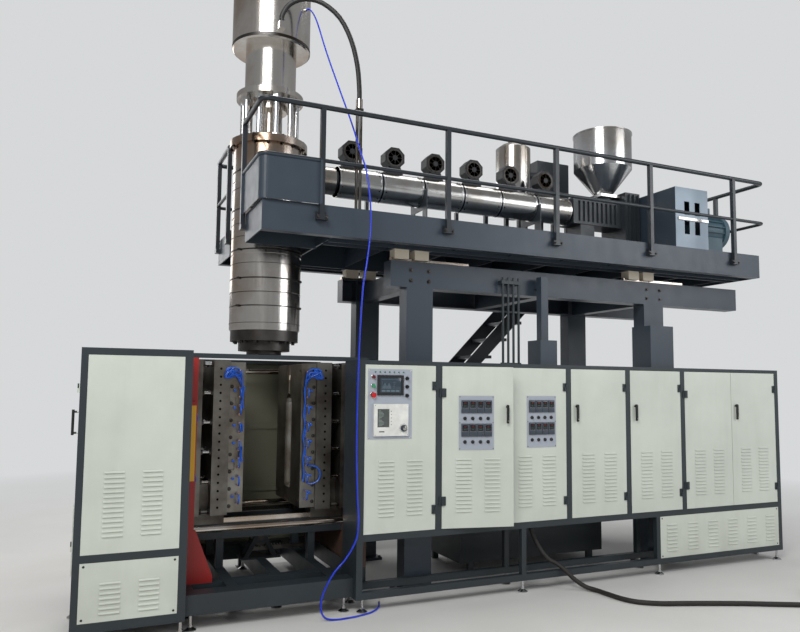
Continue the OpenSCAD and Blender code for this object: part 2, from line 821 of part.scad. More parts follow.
// Zone panels: plate with two rows of four temperature controllers and their switches
module zone_panel(x) {
    color("#aeb3b8") {
        bar(x, x + 300, plate_y, -0.0, zone_z, zone_z + 440);
        for (r = [0, 1], c = [0:3])
            rod_y(x + 51 + c * 66, plate_y - 14, zone_z + 255 - r * 190, 14.01, 7);
    }
    color("#4b535b")
        for (r = [0, 1], c = [0:3])
            difference() {
                bar(x + 21 + c * 66, x + 81 + c * 66, plate_y - 9, plate_y + 0.01,
                    zone_z + 300 - r * 190, zone_z + 402 - r * 190);
                bar(x + 27 + c * 66, x + 75 + c * 66, plate_y - 10, plate_y - 7,
                    zone_z + 340 - r * 190, zone_z + 394 - r * 190);
            }
}

module zone_panel_2() { at_ajar() zone_panel(leaf_x[1] + 140); }
module zone_panel_3() { zone_panel(leaf_x[2] + 200); }

// Feet: threaded stem in a bell shaped pad
module foot(x, y, top) {
    translate([x, y, 0])
        rotate_extrude($fn = 32)
            polygon([[0, 0], [42, 0], [42, 8], [16, 26], [16, 40], [12, 40], [12, top], [0, top]]);
}

module leveling_feet() {
    color(bright_steel) {
        for (x = [cab_x0 + left_post_w / 2, left_panel_w + right_post_w / 2], y = [22, left_cab_d - 22])
            foot(x, y, foot_h);
        for (x = [row_x + 60, 3422, low_panel_x, row_end - 60], y = [25, row_d - 25])
            foot(x, y, foot_h);
        for (x = [clamp_x - end_in - end_t + 40, clamp_x, clamp_x + end_in + end_t - 40],
            y = [end_y0 + 50, end_y1 - 50])
            foot(x, y, bed_z);
        for (x = [cab_x1 + 50, row_x - 60])
            foot(x, 100, bed_z);
    }
}

// Stand of the platform: columns, longitudinal and cross beams
module platform_stand() {
    z1 = beam_head;
    color(deck_paint) {
        both_sides() {
            for (x = stand_x) {
                bar(x, x + 250, stand_y, stand_y + stand_w, 25, z1 - stand_beam_h);
                bar(x - 40, x + 290, stand_y - 10, stand_y + stand_w + 60, 0, 25);
            }
            channel_x(stand_x[0] - 150, stand_x[1] + 1280, stand_y, z1 - stand_beam_h, stand_w, stand_beam_h, 12);
            for (x = [stand_x[0] - 150, stand_x[0], stand_x[0] + 240, stand_x[1], stand_x[1] + 240, stand_x[1] + 1270])
                bar(x, x + 10, stand_y + 12, stand_y + stand_w, z1 - stand_beam_h + 12, z1 - 12);
        }
        for (x = [stand_x[0] + 60, 3840, stand_x[1] + 60])
            bar(x, x + 120, stand_y + stand_w, 2 * mid_line - stand_y - stand_w, z1 - stand_beam_h, z1 - 40);
        bar(stair_x + 2620, stair_x + 2700, 2 * mid_line - stand_y - 1, stair_y - seat, z1 - 180, z1 - 80);
    }
}

// Stair along the back of the platform
module stair() {
    rise = deck_top / (stair_steps + 1);
    run = rise;
    color("#515a60") {
        for (y = [stair_y, stair_y + stair_w - 8])
            translate([stair_x, y, 0])
                rotate([90, 0, 0])
                    mirror([0, 0, 1])
                        linear_extrude(8)
                            polygon([[-60, 0], [140, 0], [140, 30], [3150, 3040], [3150, deck_top], [3000, deck_top]]);
        for (i = [1:stair_steps])
            bar(stair_x + i * run - 60, stair_x + i * run + 160, stair_y + 8, stair_y + stair_w - 8,
                i * rise - 34, i * rise);
    }
}

// Hydraulic power unit: tank, pump motor and bladder accumulator
module hydraulic_unit() {
    tank_x = 3150;
    tank_l = 1600;
    tank_w = 800;
    tank_top = 640;
    y0 = mid_line - tank_w / 2;
    y1 = mid_line + tank_w / 2;
    axis_z = tank_top + 220;
    acc_x = 200;
    acc_y = 1330;
    color(dark_paint) {
        bar(tank_x, tank_x + tank_l, y0, y1, 120, tank_top);
        for (x = [tank_x + 100, tank_x + tank_l - 160], y = [y0 + 20, y1 - 60])
            bar(x, x + 60, y, y + 40, 0, 121);
        rod_x(tank_x + 150, mid_line, axis_z, 190, 70);
        rod_x(tank_x + 339, mid_line, axis_z, 70, 150);
        bar(tank_x + 190, tank_x + 290, mid_line - 70, mid_line + 70, tank_top - 1, axis_z - 60);
        rod_z(tank_x + 1350, mid_line - 220, tank_top - 1, 120, 60);
    }
    // Oil pipes to the two clamp cylinders, the left one from the accumulator
    color(bright_steel) {
        cap_x = clamp_x + end_in + end_t + 590;
        cap_r = clamp_cyl_dia / 2 + 20;
        rod_z(cap_x, mid_line, 478, clamp_z - cap_r - seat - 478, 22);
        rod_x(cap_x - 22, mid_line, 500, tank_x + 32 - cap_x, 22);
        left_x = clamp_x - end_in - end_t - 620;
        pipe_x = left_x - 60;
        rod_x(pipe_x, mid_line, clamp_z, left_x - seat - pipe_x, 22);
        rod_y(pipe_x, mid_line - 22, clamp_z, acc_y - mid_line + 44, 22);
        rod_x(pipe_x - 22, acc_y, clamp_z, acc_x - 100 - pipe_x + 22, 22);
    }
    color("#45606b") {
        rod_x(tank_x + 408, mid_line, axis_z, 420, 175);
        for (i = [0:11])
            translate([tank_x + 430, mid_line, axis_z])
                rotate([i * 30, 0, 0])
                    bar(0, 340, -4, 4, 170, 192);
        rod_x(tank_x + 827, mid_line, axis_z, 60, 185);
        bar(tank_x + 470, tank_x + 770, mid_line - 90, mid_line + 90, tank_top - 1, tank_top + 60);
        bar(tank_x + 550, tank_x + 710, mid_line - 90, mid_line + 90, axis_z + 170, axis_z + 250);
    }
    color("#9c3230") {
        translate([acc_x, acc_y, 0])
            rotate_extrude($fn = 48)
                polygon(concat([[0, 620], [60, 620]], [for (a = [-90:15:0]) [60 + 55 * cos(a), 735 + 55 * sin(a) + 60]],
                    [for (a = [0:15:75]) [25 + 90 * cos(a), 1720 + 90 * sin(a)]], [[40, 1812], [40, 1850], [0, 1850]]));
    }
    color(dark_paint) {
        bar(acc_x - 50, acc_x + 50, acc_y - 50, acc_y + 50, 0, 620);
        bar(acc_x - 100, acc_x + 100, acc_y - 100, acc_y + 100, 0, 14);
    }
}

// Cable box on the control row with its riser and four oil pipes
module cable_riser() {
    riser_x = 3760;
    color("#56616b") {
        bar(riser_x - 88, riser_x + 90, 100, 300, row_top, 2135);
        bar(riser_x, riser_x + 75, 210, 285, 2134, beam_head - 60);
        bar(riser_x, riser_x + 75, 284, stand_y - seat, beam_head - 160, beam_head - 110);
        bar(4905, 5190, 60, 312, row_top, 2315);
    }
    color(dark_paint) {
        for (i = [0:3])
            rod_z(3560 - i * 55, 280, row_top, beam_head - 80 - row_top, 11);
        bar(3375, 3580, 268, 292, row_top, row_top + 20);
        bar(3375, 3580, 268, stand_y - seat, beam_head - 140, beam_head - 110);
    }
}

// Platform frame: edge channels, cross members, beams over the slide rails, floor plate
module deck_frame() {
    z0 = deck_z;
    z1 = deck_top - 6;
    color(deck_paint)
        difference() {
            union() {
                both_sides() {
                    channel_x(deck_x, deck_x1, deck_y, z0, 80, deck_beam_h, 10);
                    bar(deck_x, deck_x + 10, deck_y + 10, mid_line - notch_y, z0, z1);
                    bar(deck_x1 - 10, deck_x1, deck_y + 10, mid_line, z0, z1);
                    bar(deck_x, notch_x, mid_line - notch_y - 10, mid_line - notch_y, z0, z1);
                    bar(notch_x, deck_x1 - 10, stand_y, stand_y + 12, z0, z1);
                    bar(notch_x, deck_x1 - 10, stand_y + stand_w - 12, stand_y + stand_w, z0, z1);
                    for (x = slide_places())
                        bar(x - 20, x + 350, stand_y, stand_y + stand_w, z0, z0 + 12);
                }
                for (x = [notch_x : 575 : deck_x1 - 30])
                    bar(x, x + 12, deck_y + 10, deck_y1 - 10, z0 + 20, z1);
                bar(deck_x, deck_x1, deck_y, deck_y1, z1, deck_top);
            }
            bar(deck_x - 1, notch_x, mid_line - notch_y, mid_line + notch_y, z0 - 1, deck_top + 1);
        }
}

// Rectangular rail loop with rounded corners at one height, open at the stair
module rail_loop(z, r) {
    x0 = rail_x0 + corner_r;
    x1 = rail_x1 - corner_r;
    y0 = rail_y + corner_r;
    y1 = 2 * mid_line - rail_y - corner_r;
    rod_x(x0, rail_y, z, x1 - x0, r);
    rod_x(x0, 2 * mid_line - rail_y, z, stair_gap_x - x0, r);
    rod_x(stair_gap_x + stair_gap_w, 2 * mid_line - rail_y, z, x1 - stair_gap_x - stair_gap_w, r);
    rod_y(rail_x0, y0, z, side_post_y - y0, r);
    rod_y(rail_x0, 2 * mid_line - side_post_y, z, side_post_y - y0, r);
    rod_y(rail_x1, y0, z, y1 - y0, r);
    for (c = [[x0, y0, 180], [x1, y0, 270], [x1, y1, 0], [x0, y1, 90]])
        translate([c[0], c[1], z])
            rotate([0, 0, c[2]])
                rotate_extrude(angle = 90, $fn = 48)
                    translate([corner_r, 0])
                        circle(r = r, $fn = 24);
}

// Post of the hand rail on the outer face of an edge beam, with its bracket
module rail_post(x) {
    bar(x - post_w / 2, x + post_w / 2, rail_y - 20, rail_y + 20, deck_top - 120, hand_z - 12);
    bar(x - 45, x + 45, rail_y - 26, deck_y, deck_top - 130, deck_top - 92);
    bar(x - 45, x + 45, rail_y + 20, deck_y, deck_top - 92, deck_top - 60);
}

module side_post(y) {
    bar(rail_x0 - 19, rail_x0 + 19, y - 19, y + 19, deck_top - 120, hand_z - 12);
    bar(rail_x0 - 19, deck_x, y - 40, y + 40, deck_top - 130, deck_top - 92);
}

module rail_joint(x, y) {
    bar(x, x + joint_gap, y - 40, y + 40, mid_z - 40, hand_z + 40);
}

module deck_railing() {
    color("#3f474d") {
        difference() {
            union() {
                rail_loop(hand_z, rail_dia / 2);
                rail_loop(mid_z, 16);
            }
            // Joints between the lengths of rail, each beside a post
            for (i = [1:3])
                rail_joint(front_posts[i] + 60, rail_y);
            for (i = [1:2])
                rail_joint(front_posts[i] + 60, 2 * mid_line - rail_y);
            translate([rail_x1, 2 * mid_line - side_post_y - 60, 0])
                rotate([0, 0, 90])
                    rail_joint(0, 0);
        }
        for (x = front_posts)
            rail_post(x);
        translate([0, 2 * mid_line, 0])
            mirror([0, 1, 0])
                for (x = back_post_x)
                    rail_post(x);
        for (y = [side_post_y, 2 * mid_line - side_post_y, 1880])
            side_post(y);
        for (y = [side_post_y, 2 * mid_line - side_post_y]) {
            bar(rail_x1 - 19, rail_x1 + 19, y - 19, y + 19, deck_top - 120, hand_z - 12);
            bar(deck_x1, rail_x1 + 19, y - 40, y + 40, deck_top - 130, deck_top - 92);
        }
    }
    // Sheet in the left front corner, folded round from the side post to the first post
    color(deck_paint)
        translate([0, 0, deck_top - 4])
            linear_extrude(mid_rail_h + 4)
                polygon([[rail_x0 - 1.5, side_post_y], [rail_x0 - 1.5, rail_y + corner_r],
                    for (a = [180:15:270]) [rail_x0 + corner_r + (corner_r + 1.5) * cos(a),
                        rail_y + corner_r + (corner_r + 1.5) * sin(a)],
                    [front_posts[0], rail_y - 1.5], [front_posts[0], rail_y + 1.5],
                    for (a = [270:-15:180]) [rail_x0 + corner_r + (corner_r - 1.5) * cos(a),
                        rail_y + corner_r + (corner_r - 1.5) * sin(a)],
                    [rail_x0 + 1.5, side_post_y]]);
}

// Blocks that carry the platform on its slide rails
module bearing_blocks() {
    color("#e3dcc8")
        both_sides()
            for (x = slide_places(), i = [0, 1])
                difference() {
                    bar(x + i * 190, x + i * 190 + 135, stand_y + 22, stand_y + stand_w - 22,
                        rail_z - 12, deck_z);
                    bar(x + i * 190 - 1, x + i * 190 + 136, stand_y + stand_w / 2 - 22.4,
                        stand_y + stand_w / 2 + 22.4, rail_z - 13, rail_z + 0.3);
                }
}

// Accumulator head: banded drum, seat flange, top flange and the bore of the ram
module head_drum() {
    r = drum_dia / 2;
    bands = 5;
    pitch = (drum_top - drum_z) / bands;
    color(bright_steel)
        translate([clamp_x, mid_line, 0])
            difference() {
                union() {
                    rotate_extrude($fn = 96)
                        polygon(concat([[0, drum_z], [r - 6, drum_z]],
                            [for (i = [0:bands - 1], k = [0:3])
                                [k == 0 || k == 3 ? r - 6 : r,
                                    drum_z + i * pitch + (k == 0 ? 8 : k == 1 ? 8 : k == 2 ? pitch - 8 : pitch - 8)]],
                            [[r - 6, drum_top], [0, drum_top]]));
                    intersection() {
                        translate([0, 0, deck_top])
                            cylinder(h = 40, r = r + 96, $fn = 96);
                        bar(-150, r + 96, -r - 96, r + 96, deck_top, deck_top + 40);
                    }
                    translate([0, 0, drum_top - 1])
                        cylinder(h = 61, r = r + 36, $fn = 96);
                    for (i = [-3:3])
                        rotate([0, 0, i * 30])
                            translate([r + 66, 0, deck_top + 39])
                                cylinder(h = 20, r = 17, $fn = 6);
                }
                translate([0, 0, 3400])
                    cylinder(h = 600, r = ram_r + 0.5, $fn = 64);
                // Melt port from the extruder's adaptor to the bore
                translate([ram_r - 20, 0, screw_z])
                    rotate([0, 90, 0])
                        cylinder(h = r, r = 40, $fn = 48);
            }
}

// Die head under the drum: stepped die body, adjusting ring and mandrel
module die_head() {
    color("#4a4946")
        translate([clamp_x, mid_line, 0]) {
            rotate_extrude($fn = 96)
                polygon([[78, drum_z - 60], [78, drum_z - 200], [150, drum_z - 200], [150, drum_z - 170],
                    [222, drum_z - 170], [222, drum_z - 90], [292, drum_z - 90], [292, drum_z - 0.3],
                    [0, drum_z - 0.3], [0, drum_z - 206], [52, drum_z - 206], [62, drum_z - 190],
                    [62, drum_z - 60]]);
            for (i = [0:11])
                rotate([0, 0, i * 30])
                    translate([258, 0, drum_z - 108])
                        cylinder(h = 19, r = 15, $fn = 6);
        }
}

module head_tie_rods() {
    color(bright_steel)
        translate([clamp_x, mid_line, 0])
            for (i = [0:9])
                rotate([0, 0, i * 36 + 18])
                    translate([235, 0, drum_top + 60.3]) {
                        cylinder(h = inj_z - drum_top - 60.6, r = 24, $fn = 48);
                        cylinder(h = 34, r = 40, $fn = 6);
                        translate([0, 0, inj_z - drum_top - 60.6 - 34])
                            cylinder(h = 34, r = 40, $fn = 6);
                    }
}

// Injection cylinder and the wider drum on top of it, as one stepped body
module injection_cylinder() {
    r = inj_dia / 2;
    color(bright_steel)
        translate([clamp_x, mid_line, inj_z])
            difference() {
                union() {
                    rotate_extrude($fn = 96)
                        polygon([[0, 0], [r + 70, 0], [r + 70, 50], [r, 50], [r, inj_h],
                            [cap_dia / 2 - 12, inj_h], [cap_dia / 2, inj_h + 12],
                            [cap_dia / 2, inj_h + cap_h - 14], [cap_dia / 2 - 14, inj_h + cap_h],
                            [0, inj_h + cap_h]]);
                    for (a = [0, 90, 180, 270])
                        rotate([0, 0, a])
                            translate([240, 0, inj_h + cap_h - 0.01])
                                lifting_eye();
                    bar(-28, 28, -cap_dia / 2 - 50, -cap_dia / 2 + 20, inj_h + 70, inj_h + 130);
                    rotate([0, 0, air_angle])
                        rod_x(cap_dia / 2 - 8, 0, air_points[0][2] - inj_z, 29, 14);
                }
                translate([0, 0, -1])
                    cylinder(h = 420, r = 60.5, $fn = 64);
            }
}

module lifting_eye() {
    cylinder(h = 14, r = 26, $fn = 32);
    translate([0, 0, 40])
        rotate([90, 0, 0])
            rotate_extrude($fn = 32)
                translate([24, 0])
                    circle(r = 7, $fn = 16);
}

// Ram between the injection cylinder and the head, with its crosshead
module injection_ram() {
    color("#d7d9da")
        translate([clamp_x, mid_line, 0]) {
            translate([0, 0, inj_z - 90])
                cylinder(h = 60, r = 150, $fn = 64);
            translate([0, 0, inj_z - 31])
                cylinder(h = 420, r = 60, $fn = 64);
            translate([0, 0, 3660])
                cylinder(h = inj_z - 90 - 3660 + 1, r = ram_r, $fn = 64);
        }
}

// Screw barrel with its adaptor to the head, feed housing, throat and supports
module extruder_barrel() {
    x1 = gear_x0 - seat;
    color("#55585a") {
        difference() {
            union() {
                rod_x(clamp_x, mid_line, screw_z, cover_x1 - clamp_x + 40, 100);
                rod_x(clamp_x, mid_line, screw_z, drum_dia / 2 + 60, 150);
                rod_x(barrel_x, mid_line, screw_z, cover_x - barrel_x - 20, 128);
            }
            translate([clamp_x, mid_line, screw_z - 300])
                cylinder(h = 600, r = drum_dia / 2 + 0.3, $fn = 96);
        }
        difference() {
            bar(cover_x1 + 20, x1, mid_line - 130, mid_line + 130, screw_z - 140, screw_z + 140);
            for (x = [cover_x1 + 80:60:x1 - 60], y = [mid_line - 131, mid_line + 111])
                bar(x, x + 30, y, y + 20, screw_z - 110, screw_z + 110);
        }
        rod_z(throat_x, mid_line, screw_z + 139, hopper_z - cone_h - 30 - screw_z - 139, 95);
        for (x = [cover_x + 2 * zone_l, cover_x + 5 * zone_l])
            support_plate(x - 5);
        bar(cover_x1 + 120, cover_x1 + 300, mid_line - 120, mid_line + 120, deck_top, screw_z - 139);
    }
}

module support_plate(x) {
    difference() {
        bar(x, x + 10, mid_line - 180, mid_line + 180, deck_top, screw_z);
        bar(x - 1, x + 11, mid_line - 90, mid_line + 90, deck_top + 60, screw_z - 190);
    }
    bar(x - 60, x + 70, mid_line - 180, mid_line - 110, deck_top, deck_top + 12);
    bar(x - 60, x + 70, mid_line + 110, mid_line + 180, deck_top, deck_top + 12);
}

// Polished covers over the heater zones
module heater_covers() {
    color(bright_steel)
        for (i = [0:zones - 1])
            translate([cover_x + i * zone_l + 8, mid_line, screw_z])
                rotate([0, 90, 0])
                    difference() {
                        cylinder(h = zone_l - 16, r = cover_dia / 2, $fn = 64);
                        translate([0, 0, -1])
                            cylinder(h = zone_l, r = 100.3, $fn = 64);
                    }
}

// Cooling fan with its duct on each heater zone
module zone_blower(x) {
    top = screw_z + cover_dia / 2;
    difference() {
        translate([x, mid_line + 50, 0])
            rotate([90, 0, 0])
                linear_extrude(100)
                    polygon([[-105, top - 40], [105, top - 40], [62, top + 70], [-62, top + 70]]);
        rod_x(x - 150, mid_line, screw_z, 300, cover_dia / 2 + 0.3);
    }
    difference() {
        rod_y_sides(x, mid_line - 62, top + 150, 124, 108, 8);
        rod_y(x, mid_line - 70, top + 150, 30, 70);
    }
    rod_y(x, mid_line - 66, top + 150, 60, 26);
    for (a = [0:60:300])
        translate([x, mid_line - 60, top + 150])
            rotate([0, a, 0])
                bar(-3, 3, 0, 4, 20, 74);
}

// Prism along Y with a small number of sides
module rod_y_sides(x, y, z, l, r, n) {
    translate([x, y, z])
        rotate([-90, 180 / n, 0])
            cylinder(h = l, r = r, $fn = n);
}

module zone_blowers() {
    color(black)
        for (i = [0:zones - 1])
            zone_blower(cover_x + (i + 0.34) * zone_l);
}

// Feed hopper: straight shell, cone, rolled rim, sight glass frame and gate
module hopper() {
    r = hopper_dia / 2;
    top = hopper_z + 400;
    low = hopper_z - cone_h;
    color(bright_steel)
        translate([throat_x, mid_line, 0]) {
            rotate_extrude($fn = 96)
                polygon([[88, low], [r, hopper_z], [r, top - 12], [r + 8, top - 12], [r + 8, top],
                    [r - 4, top], [r - 4, hopper_z + 1], [84, low + 1], [84, low - 20], [88, low - 20]]);
            difference() {
                bar(-130, 130, -130, 130, low - 29.7, low);
                translate([0, 0, low - 40])
                    cylinder(h = 60, r = 84, $fn = 64);
            }
        }
}

// Loader beside the hopper: canister and blower box on a stand
module material_loader() {
    x = 4233;
    y = 1400;
    color(bright_steel) {
        translate([x, y, 0])
            rotate_extrude($fn = 64)
                polygon([[0, 3560], [60, 3560], [60, 3610], [190, 3760], [190, 4340], [130, 4385], [0, 4385]]);
        rod_z(x, y, 4384, 60, 55);
    }
    color(dark_paint) {
        for (dx = [-240, 200], dy = [-225, 200])
            bar(x + dx, x + dx + 40, y + dy, y + dy + 40, deck_top, 3761);
        difference() {
            bar(x - 240, x + 240, y - 240, y + 240, 3760, 3790);
            rod_z(x, y, 3750, 60, 182);
        }
        bar(x + 360, x + 790, y + 50, y + 350, 3680, 4290);
        for (dx = [360, 750], dy = [50, 310])
            bar(x + dx, x + dx + 40, y + dy, y + dy + 40, deck_top, 3681);
        rod_x(x + 130, y + 120, 4120, 250, 45);
    }
}

// Gearbox between feed housing and drive cover
module gearbox() {
    x0 = gear_x0;
    color("#3b4044")
        difference() {
            union() {
                bar(x0, drive_x - seat, mid_line - 200, mid_line + 200, deck_top + 60, screw_z + 250);
                bar(x0, drive_x - seat, mid_line - 250, mid_line + 250, deck_top, deck_top + 60);
                for (x = [x0 + 40:60:drive_x - 40])
                    bar(x, x + 14, mid_line - 225, mid_line + 225, deck_top + 59, screw_z + 230);
                rod_z(x0 + 125, mid_line, screw_z + 249, 40, 30);
            }
            for (x = [x0 + 30, drive_x - 40], y = [mid_line - 238, mid_line + 238])
                rod_z(x, y, deck_top - 1, 70, 8);
        }
}

// Cover of the belt drive, with four windows in its front
module drive_cover() {
    w = 450;
    h = drive_top - deck_top;
    color(deck_paint)
        difference() {
            bar(drive_x, drive_x + w, drive_y0, mid_line + 190, deck_top, drive_top);
            bar(drive_x + 4, drive_x + w - 4, drive_y0 + 4, mid_line + 186, deck_top + 40, drive_top - 4);
            for (x = [120, 265], z = [h - 285, h - 490])
                bar(drive_x + x, drive_x + x + 72, drive_y0 - 1, drive_y0 + 5, deck_top + z, deck_top + z + 140);
            rod_x(drive_x - 1, mid_line, screw_z - 60, 6, 60);
            rod_x(drive_x + w - 5, 610, screw_z - 150, 6, 60);
        }
    color("#c4c8ca")
        bar(drive_x + 30, drive_x + w - 6, drive_y0 - 12, drive_y0 + 0.01, deck_top + h - 345, deck_top + h - 318);
}

// Drive motor on the right of the cover
module drive_motor() {
    x0 = drive_x + 450.3;
    y = 610;
    z = screw_z - 150;
    color("#465058") {
        rod_x(x0, y, z, 30, 215);
        rod_x(x0 + 29, y, z, 380, 165);
        for (i = [0:17])
            translate([x0 + 45, y, z])
                rotate([i * 20, 0, 0])
                    bar(0, 340, -4, 4, 160, 186);
        rod_x(x0 + 400, y, z, 60, 188);
        bar(x0 + 120, x0 + 280, y - 80, y + 80, z + 165, z + 255);
        bar(x0 + 60, x0 + 360, y - 170, y - 100, deck_top, z - 90);
        bar(x0 + 60, x0 + 360, y + 100, y + 170, deck_top, z - 90);
    }
    color(black)
        rod_x(x0 + 459, y, z, 6, 120);
}

// Tube along hand chosen points, smoothed by a curve through them
function curve(p, n) = concat([for (i = [0:len(p) - 2], k = [0:n - 1])
    spline(p[max(i - 1, 0)], p[i], p[i + 1], p[min(i + 2, len(p) - 1)], k / n)], [p[len(p) - 1]]);
function spline(a, b, c, d, t) = 0.5 * (2 * b + (c - a) * t + (2 * a - 5 * b + 4 * c - d) * t * t
    + (3 * b - a - 3 * c + d) * t * t * t);
function unit(v) = v / norm(v);
function heading(q, i) = unit(q[min(i + 1, len(q) - 1)] - q[max(i - 1, 0)]);
// Side vector that turns as little as possible from one ring to the next
function sides(q, i = 0, s = undef) = i >= len(q) ? [] :
    let (h = heading(q, i), g = s == undef ? cross(h, [0.31, 0.87, 0.38]) : s,
        u = unit(g - h * (g * h)))
    concat([u], sides(q, i + 1, u));

module tube(p, n, r, sides_n) {
    q = curve(p, n);
    s = sides(q);
    m = len(q);
    points = [for (i = [0:m - 1], k = [0:sides_n - 1])
        let (h = heading(q, i), v = cross(h, s[i]), a = 360 * k / sides_n)
        q[i] + r * (cos(a) * s[i] + sin(a) * v)];
    faces = concat(
        [[for (k = [0:sides_n - 1]) k]],
        [for (i = [0:m - 2], k = [0:sides_n - 1], t = [0, 1])
            let (a = i * sides_n + k, b = i * sides_n + (k + 1) % sides_n)
            t == 0 ? [a, a + sides_n, b] : [b, a + sides_n, b + sides_n]],
        [[for (k = [sides_n - 1:-1:0]) (m - 1) * sides_n + k]]);
    polyhedron(points, faces, convexity = 10);
}

// Oil hose from the upper drum to the pipe pair that stands on the platform
module head_hydraulics() {
    color(black)
        tube(hose_points, 3, 21, 10);
    color(bright_steel) {
        rod_z(1980, 250, 4010, 80.3, 28);
        bar(1950, 2010, 225, 275, 3960, 4011);
        for (x = [1964, 1996])
            rod_z(x, 250, deck_top + 12, 3961 - deck_top - 12, 13);
        bar(1930, 2030, 210, 290, deck_top, deck_top + 14);
        bar(1945, 2015, 232, 268, 3500, 3540);
    }
}

// Moving half of the clamp: back plate, spacer studs, platen, carriage, rod and rack
module platen_half(side) {
    xb = clamp_x - back_x - back_t;
    xp = clamp_x - half_gap - mould_t - platen_t;
    y0 = mid_line - platen_w / 2;
    y1 = mid_line + platen_w / 2;
    color(plate_steel) {
        difference() {
            bar(xp, xp + platen_t, y0, y1, platen_z, platen_top);
            for (i = [0:17])
                rod_y(xp + platen_t * 0.42, y0 - 1, platen_z + 60 + i * 64, 26, 7);
            for (y = [mid_line - 260, mid_line, mid_line + 260])
                bar(xp + platen_t - 30, xp + platen_t + 1, y - 11, y + 11, platen_z - 1, platen_top + 1);
        }
        bar(xb, xb + back_t, y0, y1, platen_z, platen_top);
        for (y = [y0 + 120, y1 - 160])
            bar(xb + back_t, xp, y, y + 40, platen_z, platen_z + 240);
        both_sides()
            difference() {
                bar(xb, xp + platen_t, mid_line - guide_y - 60, mid_line - guide_y + 60,
                    beam_top + 4, platen_z);
                bar(xb - 1, xp + platen_t + 1, mid_line - guide_y - 20.3, mid_line - guide_y + 20.3,
                    beam_top, beam_top + guide_h + block_gap);
            }
    }
    color(bright_steel) {
        for (i = [0:stud_rows - 1], y = [y0 + 32, mid_line - 140, mid_line + 140, y1 - 32])
            rod_x(xb + back_t - 1, y, stud_z0 + i * stud_pitch, stud_len + 2, stud_dia / 2);
        rod_x(xb - end_gap - end_t - 430, mid_line, clamp_z, end_gap + end_t + 431, rod_r);
    }
    color("#6f7274")
        rack(side);
}

// Rack and its arm; the left one lies over the gear and the right one under it
module rack(side) {
    y0 = side < 0 ? mid_line - rack_w - 6 : mid_line + 6;
    arm_x = clamp_x - half_gap - mould_t - platen_t + 20;
    up = side < 0 ? 1 : -1;
    z_pitch = gear_z + up * pitch_r;
    z_root = z_pitch + up * (gear_mod + 2);
    z_back = z_root + up * 30;
    bar(arm_x, arm_x + 60, y0, y0 + rack_w, min(z_root, z_back), platen_z + 0.01);
    bar(arm_x, clamp_x + 55, y0, y0 + rack_w, min(z_root, z_back), max(z_root, z_back));
    p = PI * gear_mod;
    for (i = [-11:1])
        translate([clamp_x + (i + 0.5) * p, y0, z_pitch])
            rotate([90, 0, 0])
                mirror([0, 0, 1])
                    linear_extrude(rack_w)
                        polygon([[-7.6, up * (gear_mod + 2.5)], [-2.4, -up * (gear_mod - 1.5)],
                            [2.4, -up * (gear_mod - 1.5)], [7.6, up * (gear_mod + 2.5)]]);
}

// Mould half with its cavity, cooling nipples and guide pins
module mould_half(side) {
    x0 = clamp_x - half_gap - mould_t;
    x1 = clamp_x - half_gap;
    y0 = mid_line - mould_w / 2;
    color("#a3a19b") {
        difference() {
            bar(x0 + 0.3, x1, y0, y0 + mould_w, mould_z, mould_top);
            translate([x1, mid_line, 0])
                rotate_extrude($fn = 64)
                    polygon([[0, 830], [70, 830], [98, 858], [98, 1560], [84, 1600], [34, 1640],
                        [28, 1660], [28, 1760], [40, 1800], [40, mould_top + 1], [0, mould_top + 1]]);
            if (side > 0)
                for (y = [y0 + 45, y0 + mould_w - 45], z = [mould_z + 60, mould_top - 60])
                    rod_x(x1 - 36, y, z, 40, 12.5);
            for (z = [mould_z + 330, mould_z + 850])
                bar(x0 - 1, x1 - 70, y0 - 1, y0 + 14, z, z + 60);
        }
        if (side < 0)
            for (y = [y0 + 45, y0 + mould_w - 45], z = [mould_z + 60, mould_top - 60])
                rod_x(x1 - 1, y, z, 31, 12);
    }
    color("#2f63b8")
        for (i = [0:15])
            rod_y(x1 - 45, y0 - 22, mould_z + 70 + i * 70, 22.01, 9);
}

module left_platen() { platen_half(-1); }
module right_platen() { right_half() platen_half(1); }
module left_mould() { mould_half(-1); }
module right_mould() { right_half() mould_half(1); }

// Gear that keeps the two racks in step
module sync_gear() {
    n = gear_teeth;
    color("#7d7f80")
        translate([clamp_x, mid_line - 40, gear_z])
            rotate([-90, 0, 0]) {
                linear_extrude(80)
                    union() {
                        circle(r = pitch_r - gear_mod - 1.5, $fn = 96);
                        for (i = [0:n - 1])
                            rotate([0, 0, 90 + i * 360 / n])
                                polygon([[pitch_r - gear_mod - 3, -7.4], [pitch_r, -4.6],
                                    [pitch_r + gear_mod - 1.5, -2.3], [pitch_r + gear_mod - 1.5, 2.3],
                                    [pitch_r, 4.6], [pitch_r - gear_mod - 3, 7.4]]);
                    }
                translate([0, 0, -34])
                    cylinder(h = 148, r = 25, $fn = 48);
            }
}

// Supply cable: from its gland under the cabinets over the sill and along the floor
module supply_cable() {
    color(black)
        tube(cable_points, 4, cable_r, 10);
}

module supply_cable_coil() {
    color(black)
        translate([coil_x, coil_y, 0])
            rotate_extrude($fn = 64)
                translate([coil_r - 2 * cable_r, 0])
                    square([4 * cable_r, 6 * cable_r]);
}

module supply_plug() {
    color("#a8332f")
        translate([coil_x + coil_r + cable_r, coil_y + sqrt(pow(coil_r + 2 * cable_r, 2) - pow(coil_r, 2)), plug_r])
            rotate([-90, 0, 0]) {
                cylinder(h = 41, r = cable_r, $fn = 32);
                translate([0, 0, 40])
                    cylinder(h = 91, r = 36, $fn = 48);
                translate([0, 0, 130])
                    cylinder(h = 121, r = 50, $fn = 48);
                translate([0, 0, 250])
                    cylinder(h = 34, r = plug_r, $fn = 48);
            }
}

